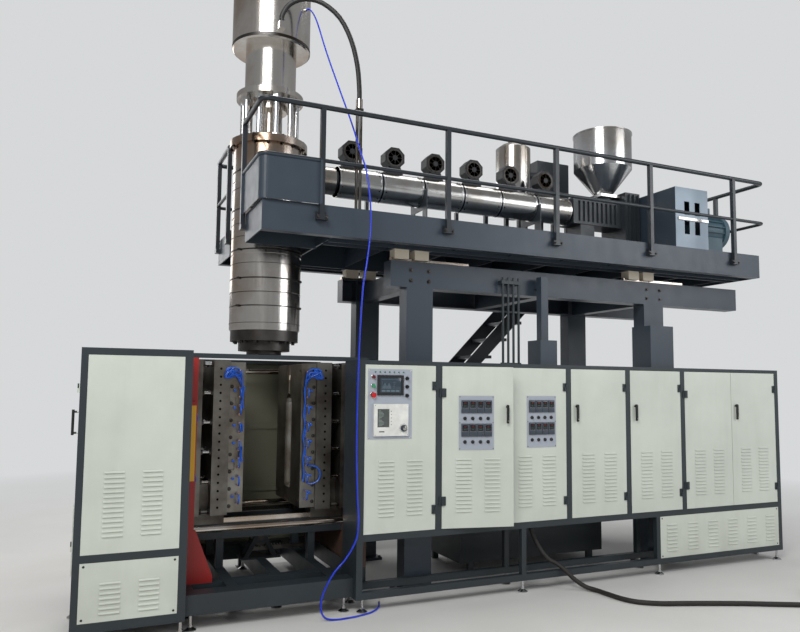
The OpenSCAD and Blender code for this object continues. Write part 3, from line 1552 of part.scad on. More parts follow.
// Air hose from the upper drum over the middle rail, down the front and into a loop
module air_hose() {
    color("#2f55c8")
        tube(air_points, 3, air_r, 8);
}

placed() clamp_bed();
placed() left_end_frame();
placed() right_end_frame();
placed() rods_and_rails();
placed() clamp_cylinders();
placed() light_curtain();
placed() clamp_guard();
placed() left_cabinet_frame();
placed() row_frame();
placed() louvre_panels();
placed() leveling_feet();
placed() platform_stand();
placed() stair();
placed() hydraulic_unit();
placed() cable_riser();
placed() deck_frame();
placed() deck_railing();
placed() bearing_blocks();
placed() head_drum();
placed() die_head();
placed() head_tie_rods();
placed() injection_cylinder();
placed() injection_ram();
placed() extruder_barrel();
placed() heater_covers();
placed() zone_blowers();
placed() hopper();
placed() material_loader();
placed() gearbox();
placed() drive_cover();
placed() drive_motor();
placed() head_hydraulics();
placed() left_platen();
placed() left_mould();
placed() right_platen();
placed() right_mould();
placed() sync_gear();
placed() door_1();
placed() door_2();
placed() door_3();
placed() door_4();
placed() door_5();
placed() door_6();
placed() door_7();
placed() left_side_door();
placed() handle_2();
placed() handle_4();
placed() handle_5();
placed() handle_7();
placed() operator_panel();
placed() parison_controller();
placed() stop_button();
placed() start_button();
placed() emergency_button();
placed() zone_panel_2();
placed() zone_panel_3();
placed() supply_cable();
placed() supply_cable_coil();
placed() supply_plug();
placed() air_hose();
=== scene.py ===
"""Dresses the accumulator blow moulding machine: camera, cords, materials and small details."""

import bpy
import bmesh
import math
from mathutils import Matrix, Vector


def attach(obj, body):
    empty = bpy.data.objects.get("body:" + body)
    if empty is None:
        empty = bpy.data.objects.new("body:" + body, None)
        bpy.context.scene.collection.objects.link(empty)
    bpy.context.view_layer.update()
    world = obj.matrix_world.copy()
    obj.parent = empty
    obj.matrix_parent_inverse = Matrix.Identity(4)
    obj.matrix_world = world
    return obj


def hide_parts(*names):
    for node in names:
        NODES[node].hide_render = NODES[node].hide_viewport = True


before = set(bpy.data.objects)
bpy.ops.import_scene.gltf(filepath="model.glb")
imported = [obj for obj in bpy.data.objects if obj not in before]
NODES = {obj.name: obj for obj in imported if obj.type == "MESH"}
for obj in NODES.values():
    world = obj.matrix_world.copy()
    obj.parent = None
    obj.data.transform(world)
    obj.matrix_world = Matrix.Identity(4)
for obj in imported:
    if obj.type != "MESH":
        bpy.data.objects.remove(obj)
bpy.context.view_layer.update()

# The machine's working frame, in millimetres: X from the left panel's edge, Y from the
# cabinet fronts into the depth, Z from the floor. MIDDLE lies over the part's origin.
MIDDLE = (3226.5, 1154.1)
CLAMP_X, MID_LINE, CLAMP_Z = 1410, 1020, 1290
DECK_TOP, SCREW_Z = 3123, 3600
FRONT, UP, DOWN = (0, -1, 0), (0, 0, 1), (0, 0, -1)


def at(x, y, z):
    """A point of the working frame, in metres of the part's frame."""
    return Vector(((x - MIDDLE[0]) / 1000, (y - MIDDLE[1]) / 1000, z / 1000))


def srgb(r, g, b):
    """A colour as seen on screen, 0 to 255, as linear values for a shader."""
    return tuple(
        (c / 255 / 12.92) if c / 255 <= 0.04045 else ((c / 255 + 0.055) / 1.055) ** 2.4
        for c in (r, g, b)
    ) + (1.0,)


# Camera: the eye in the working frame, and the focal length and shifts in pixels of an image
# that is IMAGE_W wide
EYE = (-44, -5195, 1706)
YAW, PITCH, ROLL = math.radians(24.14), math.radians(4.71), math.radians(0.54)
IMAGE_W = 800
FOCAL_PX = 716.0
SHIFT_PX = (2.8, 12.0)
SENSOR_MM = 36
FAR_CLIP = 200


def make_camera():
    forward = Vector((
        math.sin(YAW) * math.cos(PITCH), math.cos(YAW) * math.cos(PITCH), math.sin(PITCH)))
    right = Vector((math.cos(YAW), -math.sin(YAW), 0))
    up = right.cross(forward)
    tilted = right * math.cos(ROLL) + up * math.sin(ROLL)
    up = up * math.cos(ROLL) - right * math.sin(ROLL)
    data = bpy.data.cameras.new("camera")
    data.sensor_width = SENSOR_MM
    data.lens = FOCAL_PX * SENSOR_MM / IMAGE_W
    data.shift_x = -SHIFT_PX[0] / IMAGE_W
    data.shift_y = SHIFT_PX[1] / IMAGE_W
    data.clip_end = FAR_CLIP
    camera = bpy.data.objects.new("camera", data)
    turn = Matrix((tilted, up, -forward)).transposed()
    camera.matrix_world = Matrix.Translation(at(*EYE)) @ turn.to_4x4()
    bpy.context.scene.collection.objects.link(camera)
    bpy.context.scene.camera = camera


make_camera()
bpy.context.scene.view_settings.view_transform = "Standard"


class Look:
    """One node material. A finish gives it colour, roughness and bump; further finishes may
    take over inside boxes of the working frame, so that one CAD node can show several."""

    def __init__(self, name):
        self.m = bpy.data.materials.new(name)
        self.m.use_nodes = True
        self.shader = self.m.node_tree.nodes["Principled BSDF"]
        self.place = self.add("ShaderNodeTexCoord")

    def add(self, kind, **values):
        """A new node; values set its inputs, or its properties where no input has the name."""
        node = self.m.node_tree.nodes.new(kind)
        for key, value in values.items():
            if key in node.inputs:
                node.inputs[key].default_value = value
            else:
                setattr(node, key, value)
        return node

    def link(self, a, b):
        self.m.node_tree.links.new(a, b)

    def feed(self, sockets, values):
        """Sets plain values in the sockets and links what comes from a node."""
        for socket, value in zip(sockets, values):
            if isinstance(value, (int, float, tuple)):
                socket.default_value = value
            else:
                self.link(value, socket)

    def noise(self, scale, detail=4.0, stretch=(1, 1, 1)):
        """Noise in metres of the object, finer where stretch is larger."""
        shape = self.add("ShaderNodeMapping")
        shape.inputs["Scale"].default_value = stretch
        self.link(self.place.outputs["Object"], shape.inputs["Vector"])
        n = self.add("ShaderNodeTexNoise", Scale=scale, Detail=detail, Roughness=0.55)
        self.link(shape.outputs["Vector"], n.inputs["Vector"])
        return n.outputs["Fac"]

    def ramp(self, source, low, high):
        """Colours along the source, between two (position, colour) stops."""
        r = self.add("ShaderNodeValToRGB")
        self.link(source, r.inputs["Fac"])
        for element, stop in zip(r.color_ramp.elements, (low, high)):
            element.position, element.color = stop
        return r.outputs["Color"]

    def span(self, source, low, high, start=0.0, end=1.0):
        """The source between start and end, mapped to low and high."""
        s = self.add("ShaderNodeMapRange")
        self.link(source, s.inputs["Value"])
        ends = {"From Min": start, "From Max": end, "To Min": low, "To Max": high}
        for key, value in ends.items():
            s.inputs[key].default_value = value
        return s.outputs["Result"]

    def math(self, operation, a, b):
        node = self.add("ShaderNodeMath", operation=operation)
        self.feed(node.inputs, (a, b))
        return node.outputs["Value"]

    def mix(self, factor, a, b):
        """Colour a where the factor is 0 and colour b where it is 1."""
        node = self.add("ShaderNodeMix", data_type="RGBA")
        self.link(factor, node.inputs[0])
        self.feed((node.inputs[6], node.inputs[7]), (a, b))
        return node.outputs[2]

    def axes(self):
        """X, Y and Z of the point, in metres."""
        split = self.add("ShaderNodeSeparateXYZ")
        self.link(self.place.outputs["Object"], split.inputs["Vector"])
        return split.outputs

    def inside(self, boxes):
        """1 inside any of the boxes and 0 outside."""
        axes = self.axes()
        total = 0.0
        for sides in boxes:
            part = 1.0
            for i, axis in enumerate("XYZ"):
                shift = MIDDLE[i] if i < 2 else 0
                low, high = sides[2 * i], sides[2 * i + 1]
                for test, side in (("GREATER_THAN", low), ("LESS_THAN", high)):
                    if side is not None:
                        step = self.math(test, axes[axis], (side - shift) / 1000)
                        part = self.math("MULTIPLY", part, step)
            total = self.math("MAXIMUM", total, part)
        return total

    def step(self, mask, a, b):
        """a where the mask is 0 and b where it is 1."""
        rest = self.math("MULTIPLY", a, self.math("SUBTRACT", 1.0, mask))
        return self.math("ADD", rest, self.math("MULTIPLY", b, mask))

    def wear(self, finish, *others):
        """One finish all over; each further (finish, boxes) pair takes over inside its boxes."""
        first = finish(self)
        color, rough, shine = first["color"], first["rough"], first["metal"]
        for other, boxes in others:
            second = other(self)
            mask = self.inside(boxes)
            color = self.mix(mask, color, second["color"])
            rough = self.step(mask, rough, second["rough"])
            if not isinstance(shine, float) or second["metal"] != shine:
                shine = self.step(mask, shine, second["metal"])
        self.feed((self.shader.inputs["Metallic"],), (shine,))
        self.link(color, self.shader.inputs["Base Color"])
        self.link(rough, self.shader.inputs["Roughness"])
        node = self.add("ShaderNodeBump", Strength=first["strength"], Distance=0.001)
        self.link(first["bump"], node.inputs["Height"])
        self.link(node.outputs["Normal"], self.shader.inputs["Normal"])
        return self.m


def shade(color, k):
    """The colour made darker or lighter by the factor k."""
    return tuple(min(1.0, c * k) for c in color[:3]) + (1.0,)


def enamel(color, rough, peel, dirt=None, dirt_top=0.75):
    """Sprayed paint: mottled, with orange peel, and with grime up to dirt_top metres."""
    def finish(look):
        mottle = look.noise(scale=2.2, detail=5)
        out = look.ramp(mottle, (0.3, shade(color, 0.93)), (0.7, shade(color, 1.04)))
        if dirt:
            low = look.span(look.axes()["Z"], 1.0, 0.0, end=dirt_top)
            patches = look.span(look.noise(scale=3.2, detail=6), 0.0, 0.55, 0.4, 0.85)
            runs = look.noise(scale=9, stretch=(1, 1, 0.08))
            streaks = look.span(runs, 0.0, 0.07, 0.5, 0.8)
            grime = look.math("ADD", look.math("MULTIPLY", low, patches), streaks)
            out = look.mix(grime, out, dirt)
        return {"color": out,
                "rough": look.span(look.noise(scale=9, detail=6), rough - 0.08, rough + 0.12),
                "metal": 0.0, "bump": look.noise(scale=240, detail=2), "strength": peel}
    return finish


def metal(color, other, rough, grain, scratch, cloud=1.7):
    """Bare metal with a grain along one direction and a second tint in clouds."""
    def finish(look):
        lines = look.noise(scale=38, detail=6, stretch=grain)
        clouds = look.noise(scale=cloud, detail=5)
        return {"color": look.ramp(clouds, (0.36, other), (0.62, color)),
                "rough": look.span(lines, rough - 0.08, rough + 0.14),
                "metal": 1.0, "bump": lines, "strength": scratch}
    return finish


def moulded(color, rough, grain=0.2, scale=600):
    """Moulded plastic or rubber: slight clouds and a fine grain."""
    def finish(look):
        clouds = look.noise(scale=14)
        return {"color": look.ramp(clouds, (0.3, shade(color, 0.88)), (0.7, shade(color, 1.1))),
                "rough": look.span(look.noise(scale=20), rough - 0.06, rough + 0.1),
                "metal": 0.0, "bump": look.noise(scale=scale, detail=2), "strength": grain}
    return finish


GRIME = srgb(112, 106, 94)
OIL = srgb(40, 34, 28)

# enamel: colour, roughness, orange peel, grime and its height
# metal: colour, second tint, roughness, stretch of the grain, scratches, scale of the clouds
# moulded: colour, roughness, grain and its scale
FINISH = {
    "white": enamel(srgb(206, 211, 200), 0.36, 0.08, GRIME, 0.5),
    "frame": enamel(srgb(41, 50, 55), 0.42, 0.14, OIL),
    "deck": enamel(srgb(50, 60, 71), 0.4, 0.14),
    # Paler copy of the deck's blue for the drive cover's front face: painted light on the lit face
    # of one paint
    "painted_lit_blue": enamel(srgb(150, 166, 180), 0.38, 0.1),
    "railing": enamel(srgb(33, 39, 45), 0.34, 0.1),
    "red": enamel(srgb(160, 36, 32), 0.38, 0.12, OIL),
    "rust": enamel(srgb(96, 70, 58), 0.5, 0.3, OIL, 1.4),
    "guard": enamel(srgb(140, 140, 120), 0.45, 0.12, GRIME),
    "yellow": enamel(srgb(222, 168, 40), 0.4, 0.1),
    "cream": enamel(srgb(222, 210, 190), 0.42, 0.1),
    "motor": enamel(srgb(66, 92, 104), 0.45, 0.16, OIL),
    "gear": enamel(srgb(46, 51, 56), 0.42, 0.2),
    "black": enamel(srgb(24, 25, 27), 0.48, 0.2),
    "bright": metal(srgb(206, 208, 210), srgb(172, 164, 154), 0.16, (1, 1, 0.05), 0.05),
    "drum": metal(srgb(204, 200, 194), srgb(150, 126, 106), 0.16, (1, 1, 0.05), 0.04, 1.1),
    "cover": metal(srgb(190, 190, 188), srgb(148, 138, 126), 0.19, (0.05, 1, 1), 0.05),
    "chrome": metal(srgb(210, 204, 196), srgb(168, 150, 134), 0.15, (0.2, 20, 20), 0.03),
    "plate": metal(srgb(134, 131, 124), srgb(86, 80, 74), 0.44, (1, 10, 1), 0.18, 3),
    "mould": metal(srgb(152, 149, 142), srgb(100, 90, 78), 0.36, (1, 1, 10), 0.12, 3),
    "dark_steel": metal(srgb(84, 82, 80), srgb(50, 44, 38), 0.38, (1, 1, 8), 0.16, 3),
    # Near-black for the discs on the platen face: painted shade inside the holes
    "hole": metal(srgb(30, 28, 27), srgb(18, 16, 15), 0.6, (1, 1, 8), 0.16, 3),
    "brass": metal(srgb(198, 160, 84), srgb(150, 116, 58), 0.26, (1, 1, 10), 0.04, 8),
    "grey_panel": enamel(srgb(166, 172, 182), 0.34, 0.06),
    "black_plastic": moulded(srgb(24, 25, 27), 0.42),
    "grey_plastic": moulded(srgb(62, 70, 80), 0.48),
    "white_plastic": moulded(srgb(226, 226, 220), 0.4, 0.08),
    "red_plastic": moulded(srgb(196, 26, 34), 0.3, 0.04),
    "dark_red_plastic": moulded(srgb(100, 24, 30), 0.3, 0.04),
    "green_plastic": moulded(srgb(44, 144, 96), 0.3, 0.04),
    "rubber": moulded(srgb(38, 35, 33), 0.6, 0.3),
    "oil_hose": moulded(srgb(22, 22, 23), 0.5, 0.4, 300),
    "blue_hose": moulded(srgb(26, 54, 196), 0.28, 0.04),
    "blue_fitting": moulded(srgb(34, 96, 206), 0.32, 0.05),
}
MAT = {key: Look(key).wear(finish) for key, finish in FINISH.items()}


def lit(name, color, strength, rough=0.3):
    """A glowing glass or lamp surface, cloudy by a little."""
    look = Look(name)
    clouds = look.noise(scale=30, detail=2)
    tone = look.ramp(clouds, (0.3, shade(color, 0.85)), (0.7, shade(color, 1.05)))
    look.link(tone, look.shader.inputs["Base Color"])
    look.link(tone, look.shader.inputs["Emission Color"])
    look.shader.inputs["Emission Strength"].default_value = strength
    look.shader.inputs["Roughness"].default_value = rough
    return look.m


MAT["screen"] = lit("touch_screen", srgb(52, 64, 74), 0.2, 0.12)
MAT["screen_line"] = lit("screen_line", srgb(92, 108, 118), 0.12)
MAT["lcd"] = lit("programmer_glass", srgb(78, 84, 82), 0.12, 0.14)
MAT["lcd_line"] = lit("programmer_trace", srgb(120, 130, 124), 0.12)
MAT["dark_glass"] = lit("display_glass", srgb(26, 30, 34), 0.0, 0.1)
MAT["red_digit"] = lit("red_digit", srgb(128, 46, 40), 0.15)
MAT["green_digit"] = lit("green_digit", srgb(70, 104, 80), 0.1)


def set_material(name, m):
    """Gives the node the material in every slot, and a slot if it has none."""
    obj = NODES[name]
    if not obj.material_slots:
        obj.data.materials.append(m)
    for slot in obj.material_slots:
        slot.material = m


ONE_FINISH = {
    "frame": "clamp_bed left_cabinet_frame clamp_cylinders",
    "red": "left_end_frame",
    "rust": "right_end_frame",
    "white": "louvre_panels",
    "chrome": "rods_and_rails injection_ram",
    "drum": "head_drum injection_cylinder",
    "bright": "head_tie_rods hopper leveling_feet",
    "cover": "heater_covers",
    "deck": "platform_stand deck_frame",
    "railing": "stair",
    "cream": "bearing_blocks",
    "dark_steel": "die_head sync_gear",
    "black": "zone_blowers",
    "gear": "gearbox",
    "black_plastic": "handle_2 handle_4 handle_5 handle_7",
    "grey_panel": "zone_panel_2 zone_panel_3",
    "dark_red_plastic": "stop_button",
    "green_plastic": "start_button",
    "red_plastic": "emergency_button supply_plug",
}
for key, names in ONE_FINISH.items():
    for name in names.split():
        set_material(name, MAT[key])

# Control row: left edges of the seven door leaves, and its bays as (left edge, width)
LEAF_X = [1972, 2640, 3256, 3924, 4592, 5260, 5876]
LEFT_HUNG, AJAR_LEAF = (1, 5), 1
SINGLE, DOUBLE = 616, 1232
BAYS = [(1969, SINGLE), (2637, DOUBLE), (3921, SINGLE), (4589, SINGLE), (5257, DOUBLE)]
BAY_FLOOR, BAY_ROOF = 600, 1860
GEAR_MARGIN = 85
PANEL_X = LEAF_X[0] + 22

# Clamp: outer faces of the left back plate and platen; the right ones lie as in a mirror.
# Near faces of the moulds and of the platens
LEFT_BACK, LEFT_PLATE = 773, 920
RIGHT_BACK, RIGHT_PLATE = 2 * CLAMP_X - LEFT_BACK, 2 * CLAMP_X - LEFT_PLATE
BACK_T = 62
STUDS_FROM_Z = 931
MOULD_Y, PLATEN_Y = 630, 600


def box(x0=None, x1=None, y0=None, y1=None, z0=None, z1=None):
    """A box of the working frame; a side that isn't given stays open."""
    return x0, x1, y0, y1, z0, z1


def hinge_boxes(n):
    """The dark hinge halves of leaf n; those on a left edge sit at other heights."""
    half_h, front = 36, -0.02
    if n in LEFT_HUNG:
        x0, x1 = None, LEAF_X[n] + (34 if n == AJAR_LEAF else 36)
        heights = (796, 1662)
    else:
        x0, x1 = LEAF_X[n] + 574, None
        heights = (737, 1717)
    return [box(x0, x1, y1=front, z0=z - half_h, z1=z + half_h) for z in heights]


SWITCHGEAR = [box(x + GEAR_MARGIN, x + w - GEAR_MARGIN, 200, 293.9, BAY_FLOOR, BAY_ROOF)
              for x, w in BAYS]

# Nodes with several finishes: the main one, then (finish, boxes) pairs
MIXED_FINISHES = {
    # White mounting plates with the grey switchgear on them
    "row_frame": ("frame", ("white_plastic", [box(1972, 6486, 41, 311, BAY_FLOOR, BAY_ROOF)]),
                  ("grey_plastic", SWITCHGEAR)),
    "light_curtain": ("yellow", ("red", [box(z0=1555), box(z1=1003)])),
    "clamp_guard": ("guard", ("frame", [box(z0=1912.1), box(z1=111)])),
    # Pump motor, red bladder accumulator around its oil pipe, and the bright oil pipes
    "hydraulic_unit": (
        "frame", ("motor", [box(3557, 4040, z0=641)]),
        ("red", [box(60, 340, 1200, 1460, 620.1, 1268), box(60, 340, 1200, 1460, 1312),
                 box(86, 340, 1200, 1460, 1267, 1313)]),
        ("bright", [box(x1=86, z0=1267, z1=1313), box(None, 640, 980, 1060, 1267, 1313),
                    box(2600, 3149)])),
    "cable_riser": ("deck", ("frame", [box(x1=3600)])),
    "deck_railing": ("railing", ("deck", [box(None, 1612, None, 689, 3119, 3467)])),
    "head_hydraulics": ("dark_steel", ("bright", [box(z0=4009, z1=4090.5)]),
                        ("oil_hose", [box(z0=4090.5)])),
    "extruder_barrel": ("gear", ("cover", [box(1716, 2013.9)])),
    "material_loader": ("gear", ("bright", [box(3990, 4460, 1150, 1640, 3791)])),
    # Bright spacer studs between the plates, and the piston rods outside them
    "left_platen": ("plate", ("bright", [
        box(LEFT_BACK + BACK_T + 0.5, LEFT_PLATE - 0.5, z0=STUDS_FROM_Z), box(x1=LEFT_BACK)])),
    "right_platen": ("plate", ("bright", [
        box(RIGHT_PLATE + 0.5, RIGHT_BACK - BACK_T - 0.5, z0=STUDS_FROM_Z), box(RIGHT_BACK)])),
    "left_mould": ("mould", ("blue_fitting", [box(y1=MOULD_Y - 0.2)])),
    "right_mould": ("mould", ("blue_fitting", [box(y1=MOULD_Y - 0.2)])),
    "left_side_door": ("white", ("black_plastic", [box(None, -56, None, 160, 1300, 1600)])),
    "operator_panel": ("grey_panel", ("black_plastic", [box(y1=-3.02)])),
    "parison_controller": ("white_plastic", ("grey_plastic", [box(y1=-21.02)])),
    # Drive cover: deck blue, with its front face paler as painted light on the lit side of one
    # paint; bright parts stand in front of it
    "drive_cover": ("deck", ("painted_lit_blue", [box(y1=303.9)]), ("bright", [box(y1=299.9)])),
    "drive_motor": ("motor", ("black", [box(6409)])),
}
for n in range(len(LEAF_X)):
    MIXED_FINISHES["door_%d" % (n + 1)] = ("white", ("frame", hinge_boxes(n)))
for name, (main, *others) in MIXED_FINISHES.items():
    extra = [(FINISH[key], boxes) for key, boxes in others]
    set_material(name, Look(name + "_finish").wear(FINISH[main], *extra))


class Shape:
    """Collects solids in the working frame, in millimetres, and becomes one piece."""

    def __init__(self):
        self.bm = bmesh.new()

    def block(self, x0, x1, y0, y1, z0, z1, turn=None, bevel=0.0):
        made = bmesh.ops.create_cube(self.bm, size=1.0)["verts"]
        size = Matrix.Diagonal((x1 - x0, y1 - y0, z1 - z0, 1))
        place = Matrix.Translation(((x0 + x1) / 2, (y0 + y1) / 2, (z0 + z1) / 2))
        bmesh.ops.transform(self.bm, matrix=(turn or Matrix()) @ place @ size, verts=made)
        if bevel:
            edges = list({e for v in made for e in v.link_edges})
            bmesh.ops.bevel(
                self.bm, geom=edges, offset=bevel, segments=2, profile=0.6, affect="EDGES")

    def skin(self, rings, closed=False):
        """Faces between rings of points, with end caps unless the rings are a closed loop."""
        rings = [[self.bm.verts.new(p) for p in ring] for ring in rings]
        sides = len(rings[0])
        for low, high in zip(rings, rings[1:] + rings[:1] if closed else rings[1:]):
            for k in range(sides):
                j = (k + 1) % sides
                self.bm.faces.new((low[k], low[j], high[j], high[k]))
        if not closed:
            self.bm.faces.new(list(reversed(rings[0])))
            self.bm.faces.new(rings[-1])

    def lathe(self, origin, axis, outline, sides=24, turn=None, hollow=False):
        """Turned solid: outline is (distance along the axis, radius) pairs, a loop if hollow."""
        least_r = 0.01
        axis = Vector(axis).normalized()
        side = axis.orthogonal().normalized()
        other = axis.cross(side)
        rings = []
        for along, radius in outline:
            ring = []
            for k in range(sides):
                a = 2 * math.pi * k / sides
                spoke = (side * math.cos(a) + other * math.sin(a)) * max(radius, least_r)
                p = Vector(origin) + axis * along + spoke
                ring.append(turn @ p if turn else p)
            rings.append(ring)
        self.skin(rings, closed=hollow)

    def bolt(self, p, axis, r):
        """Hexagon head on a washer, for a shank of radius r."""
        washer = [(0, r * 1.7), (r * 0.28, r * 1.7), (r * 0.28, r * 1.05)]
        head = [(r * 0.2, r * 1.1), (r * 1.05, r * 1.1), (r * 1.2, r * 0.85)]
        self.lathe(p, axis, washer, 16)
        self.lathe(p, axis, head, 6)

    def screw(self, p, axis, r, turn=None):
        """Low round head of radius r with a recess."""
        head = [(0, r), (r * 0.25, r * 0.95), (r * 0.5, r * 0.6), (r * 0.35, r * 0.3)]
        self.lathe(p, axis, head, 12, turn)

    def pipe(self, points, r, steps):
        """Tube along a smooth curve through the points."""
        sides = 8
        line = smooth_line([Vector(p) for p in points], steps)
        side = None
        rings = []
        for i, p in enumerate(line):
            heading = (line[min(i + 1, len(line) - 1)] - line[max(i - 1, 0)]).normalized()
            side = (side - heading * side.dot(heading)) if side else heading.orthogonal()
            side = side.normalized()
            other = heading.cross(side)
            rings.append([
                p + (side * math.cos(a) + other * math.sin(a)) * r
                for a in (2 * math.pi * k / sides for k in range(sides))
            ])
        self.skin(rings)

    def piece(self, name, key, body, slot, smooth=True):
        """Ends the shape as a piece with material MAT[key] that rides the body."""
        bmesh.ops.recalc_face_normals(self.bm, faces=self.bm.faces)
        for v in self.bm.verts:
            v.co = at(*v.co)
        data = bpy.data.meshes.new(name)
        self.bm.to_mesh(data)
        self.bm.free()
        if smooth:
            data.shade_smooth()
            data.set_sharp_from_angle(angle=math.radians(35))
        obj = bpy.data.objects.new(name, data)
        obj.data.materials.append(MAT[key])
        bpy.context.scene.collection.objects.link(obj)
        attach(obj, body)
        return obj


def smooth_line(points, steps):
    """A curve through all the points, with the given number of steps between two of them."""
    line = []
    for i in range(len(points) - 1):
        a, b = points[max(i - 1, 0)], points[i]
        c, d = points[i + 1], points[min(i + 2, len(points) - 1)]
        for k in range(steps):
            t = k / steps
            line.append(0.5 * (2 * b + (c - a) * t + (2 * a - 5 * b + 4 * c - d) * t * t
                               + (3 * b - a - 3 * c + d) * t * t * t))
    return line + [points[-1]]


def band(r0, r1, width):
    """Outline of a ring between two radii."""
    return [(0, r0), (0, r1), (width, r1), (width, r0)]


def around(x, y, z, degrees, axis):
    """Turns by the angle, then shifts to the point."""
    return Matrix.Translation((x, y, z)) @ Matrix.Rotation(math.radians(degrees), 4, axis)


# The second door stands ajar: what sits on it turns about its pin
PIN_X, PIN_Y = LEAF_X[AJAR_LEAF], -9
AJAR_ANGLE = -12
ON_AJAR_DOOR = around(PIN_X, PIN_Y, 0, AJAR_ANGLE, "Z") @ Matrix.Translation((-PIN_X, -PIN_Y, 0))

# Supply cable: from the gland under the row down to the floor and on to its coil
CABLE_R = 19
CABLE_ROUTE = [
    (3610, 170, 545), (3610, 170, 480), (3640, 160, 390), (3690, 125, 285), (3735, 80, 225),
    (3775, 30, 200), (3812, -25, 160), (3872, -90, 85), (3935, -155, 34), (3985, -240, 19.5),
    (4000, -370, 19.5), (4020, -510, 19.5), (4080, -630, 19.5), (4220, -730, 19.5),
    (4400, -800, 19.5), (4600, -880, 19.5), (4840, -985, 19.5), (5080, -1105, 19.5),
    (5320, -1225, 19.5), (5520, -1322, 19.5), (5700, -1409, 19.5),
]
COIL = (5800, -1204)
COIL_R = 209

# Air hose: from the top of the head down past the railing to the floor
AIR_R = 7
AIR_ROUTE = [
    (1653, 746, 5040), (1680, 716, 5030), (1716, 640, 4900), (1768, 500, 4560),
    (1830, 340, 4200), (1890, 180, 3850), (1938, 70, 3560), (1962, 20, 3420), (1985, -8, 3200),
    (1992, -14, 2960), (1968, -20, 2720), (1930, -30, 2480), (1905, -45, 2150), (1890, -56, 1800),
    (1884, -60, 1500), (1884, -62, 1150), (1896, -64, 860), (1906, -64, 700), (1888, -64, 560),
    (1810, -62, 430), (1716, -60, 330), (1642, -60, 200), (1622, -64, 95), (1652, -76, 26),
    (1725, -86, 7.5), (1803, -88, 7.5), (1910, -72, 7.5), (2040, -22, 7.5), (2130, 70, 7.5),
    (2185, 190, 7.5),
]


def coil_turns():
    """The coil's centreline, turn by turn, from where the cable reaches it to the plug."""
    outer, inner = COIL_R + CABLE_R, COIL_R - CABLE_R
    low, middle, high = CABLE_R + 0.5, 3 * CABLE_R - 3, 5 * CABLE_R - 2
    # Radius and height of each turn; the last part of a turn leads over to the next
    turns = [(outer, low), (inner, low), (inner, middle), (inner, high), (outer, high),
             (outer, middle)]
    last = len(turns) - 1
    start, end, step = -115.9, 1800.0, 9
    lead_from, lead = 0.88, 0.12
    points = []
    angle = start
    while angle <= end:
        done = (angle - start) / 360
        n = min(int(done), last)
        r, z = turns[n]
        if n < last and done - n > lead_from:
            t = (done - n - lead_from) / lead
            t = t * t * (3 - 2 * t)
            r += (turns[n + 1][0] - r) * t
            z += (turns[n + 1][1] - z) * t
        a = math.radians(angle)
        points.append(Vector((COIL[0] + r * math.cos(a), COIL[1] + r * math.sin(a), z)))
        angle += step
    return points


def cord_piece(name, line, r, key, body, resolution):
    """A round cord along the line; resolution is the roundness of its section."""
    data = bpy.data.curves.new(name, "CURVE")
    data.dimensions = "3D"
    data.bevel_depth = r / 1000
    data.bevel_resolution = resolution
    data.use_fill_caps = True
    spline = data.splines.new("POLY")
    spline.points.add(len(line) - 1)
    for point, p in zip(spline.points, line):
        point.co = (*at(*p), 1)
    obj = bpy.data.objects.new(name, data)
    data.materials.append(MAT[key])
    bpy.context.scene.collection.objects.link(obj)
    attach(obj, body)
    return obj


cable_line = smooth_line([Vector(p) for p in CABLE_ROUTE], 5)[:-1] + coil_turns()
cable = cord_piece("supply_cable_line", cable_line, CABLE_R, "rubber", "machine_base", 5)
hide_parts("supply_cable", "supply_cable_coil")

air_line = smooth_line([Vector(p) for p in AIR_ROUTE], 6)
air = cord_piece("air_hose_line", air_line, AIR_R, "blue_hose", "platform", 3)
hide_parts("air_hose")


def air_fitting():
    """Brass fitting pushed over the end of the air hose."""
    end, before = Vector(AIR_ROUTE[-1]), Vector(AIR_ROUTE[-2])
    axis = (end - before).normalized()
    overlap = 22
    s = Shape()
    s.lathe(end - axis * overlap, axis,
            [(0, 7.2), (2, 7.4), (22, 7.4), (24, 6.4), (34, 6.4), (36, 5)], 20)
    return s.piece("air_hose_fitting", "brass", "platform", "bright_steel")


fitting = air_fitting()

# Bars of the seven-segment figures: a at the top, then clockwise to f, and g in the middle
SEGMENTS = {
    "0": "abcdef", "1": "bc", "2": "abged", "3": "abgcd", "4": "fgbc",
    "5": "afgcd", "6": "afgedc", "7": "abc", "8": "abcdefg", "9": "abcdfg",
}


def digits(s, text, x, y, z, h, turn=None):
    """Figures of height h from the lower left corner (x, z), on a face that looks to the front."""
    w, t, pitch, depth = h * 0.5, h * 0.13, 0.72, 0.8
    for i, c in enumerate(text):
        x0 = x + i * h * pitch
        x1, middle, top = x0 + w, z + h / 2, z + h
        bars = {
            "a": (x0, x1, top - t, top), "g": (x0, x1, middle - t / 2, middle + t / 2),
            "d": (x0, x1, z, z + t), "f": (x0, x0 + t, middle, top),
            "b": (x1 - t, x1, middle, top), "e": (x0, x0 + t, z, middle),
            "c": (x1 - t, x1, z, middle),
        }
        for k in SEGMENTS[c]:
            a0, a1, b0, b1 = bars[k]
            s.block(a0, a1, y - depth, y, b0, b1, turn)


# Front faces of the operator's plate, of its touch screen and of the parison programmer
PLATE_FACE, SCREEN_FACE, PROGRAMMER_FACE = -3, -12, -21


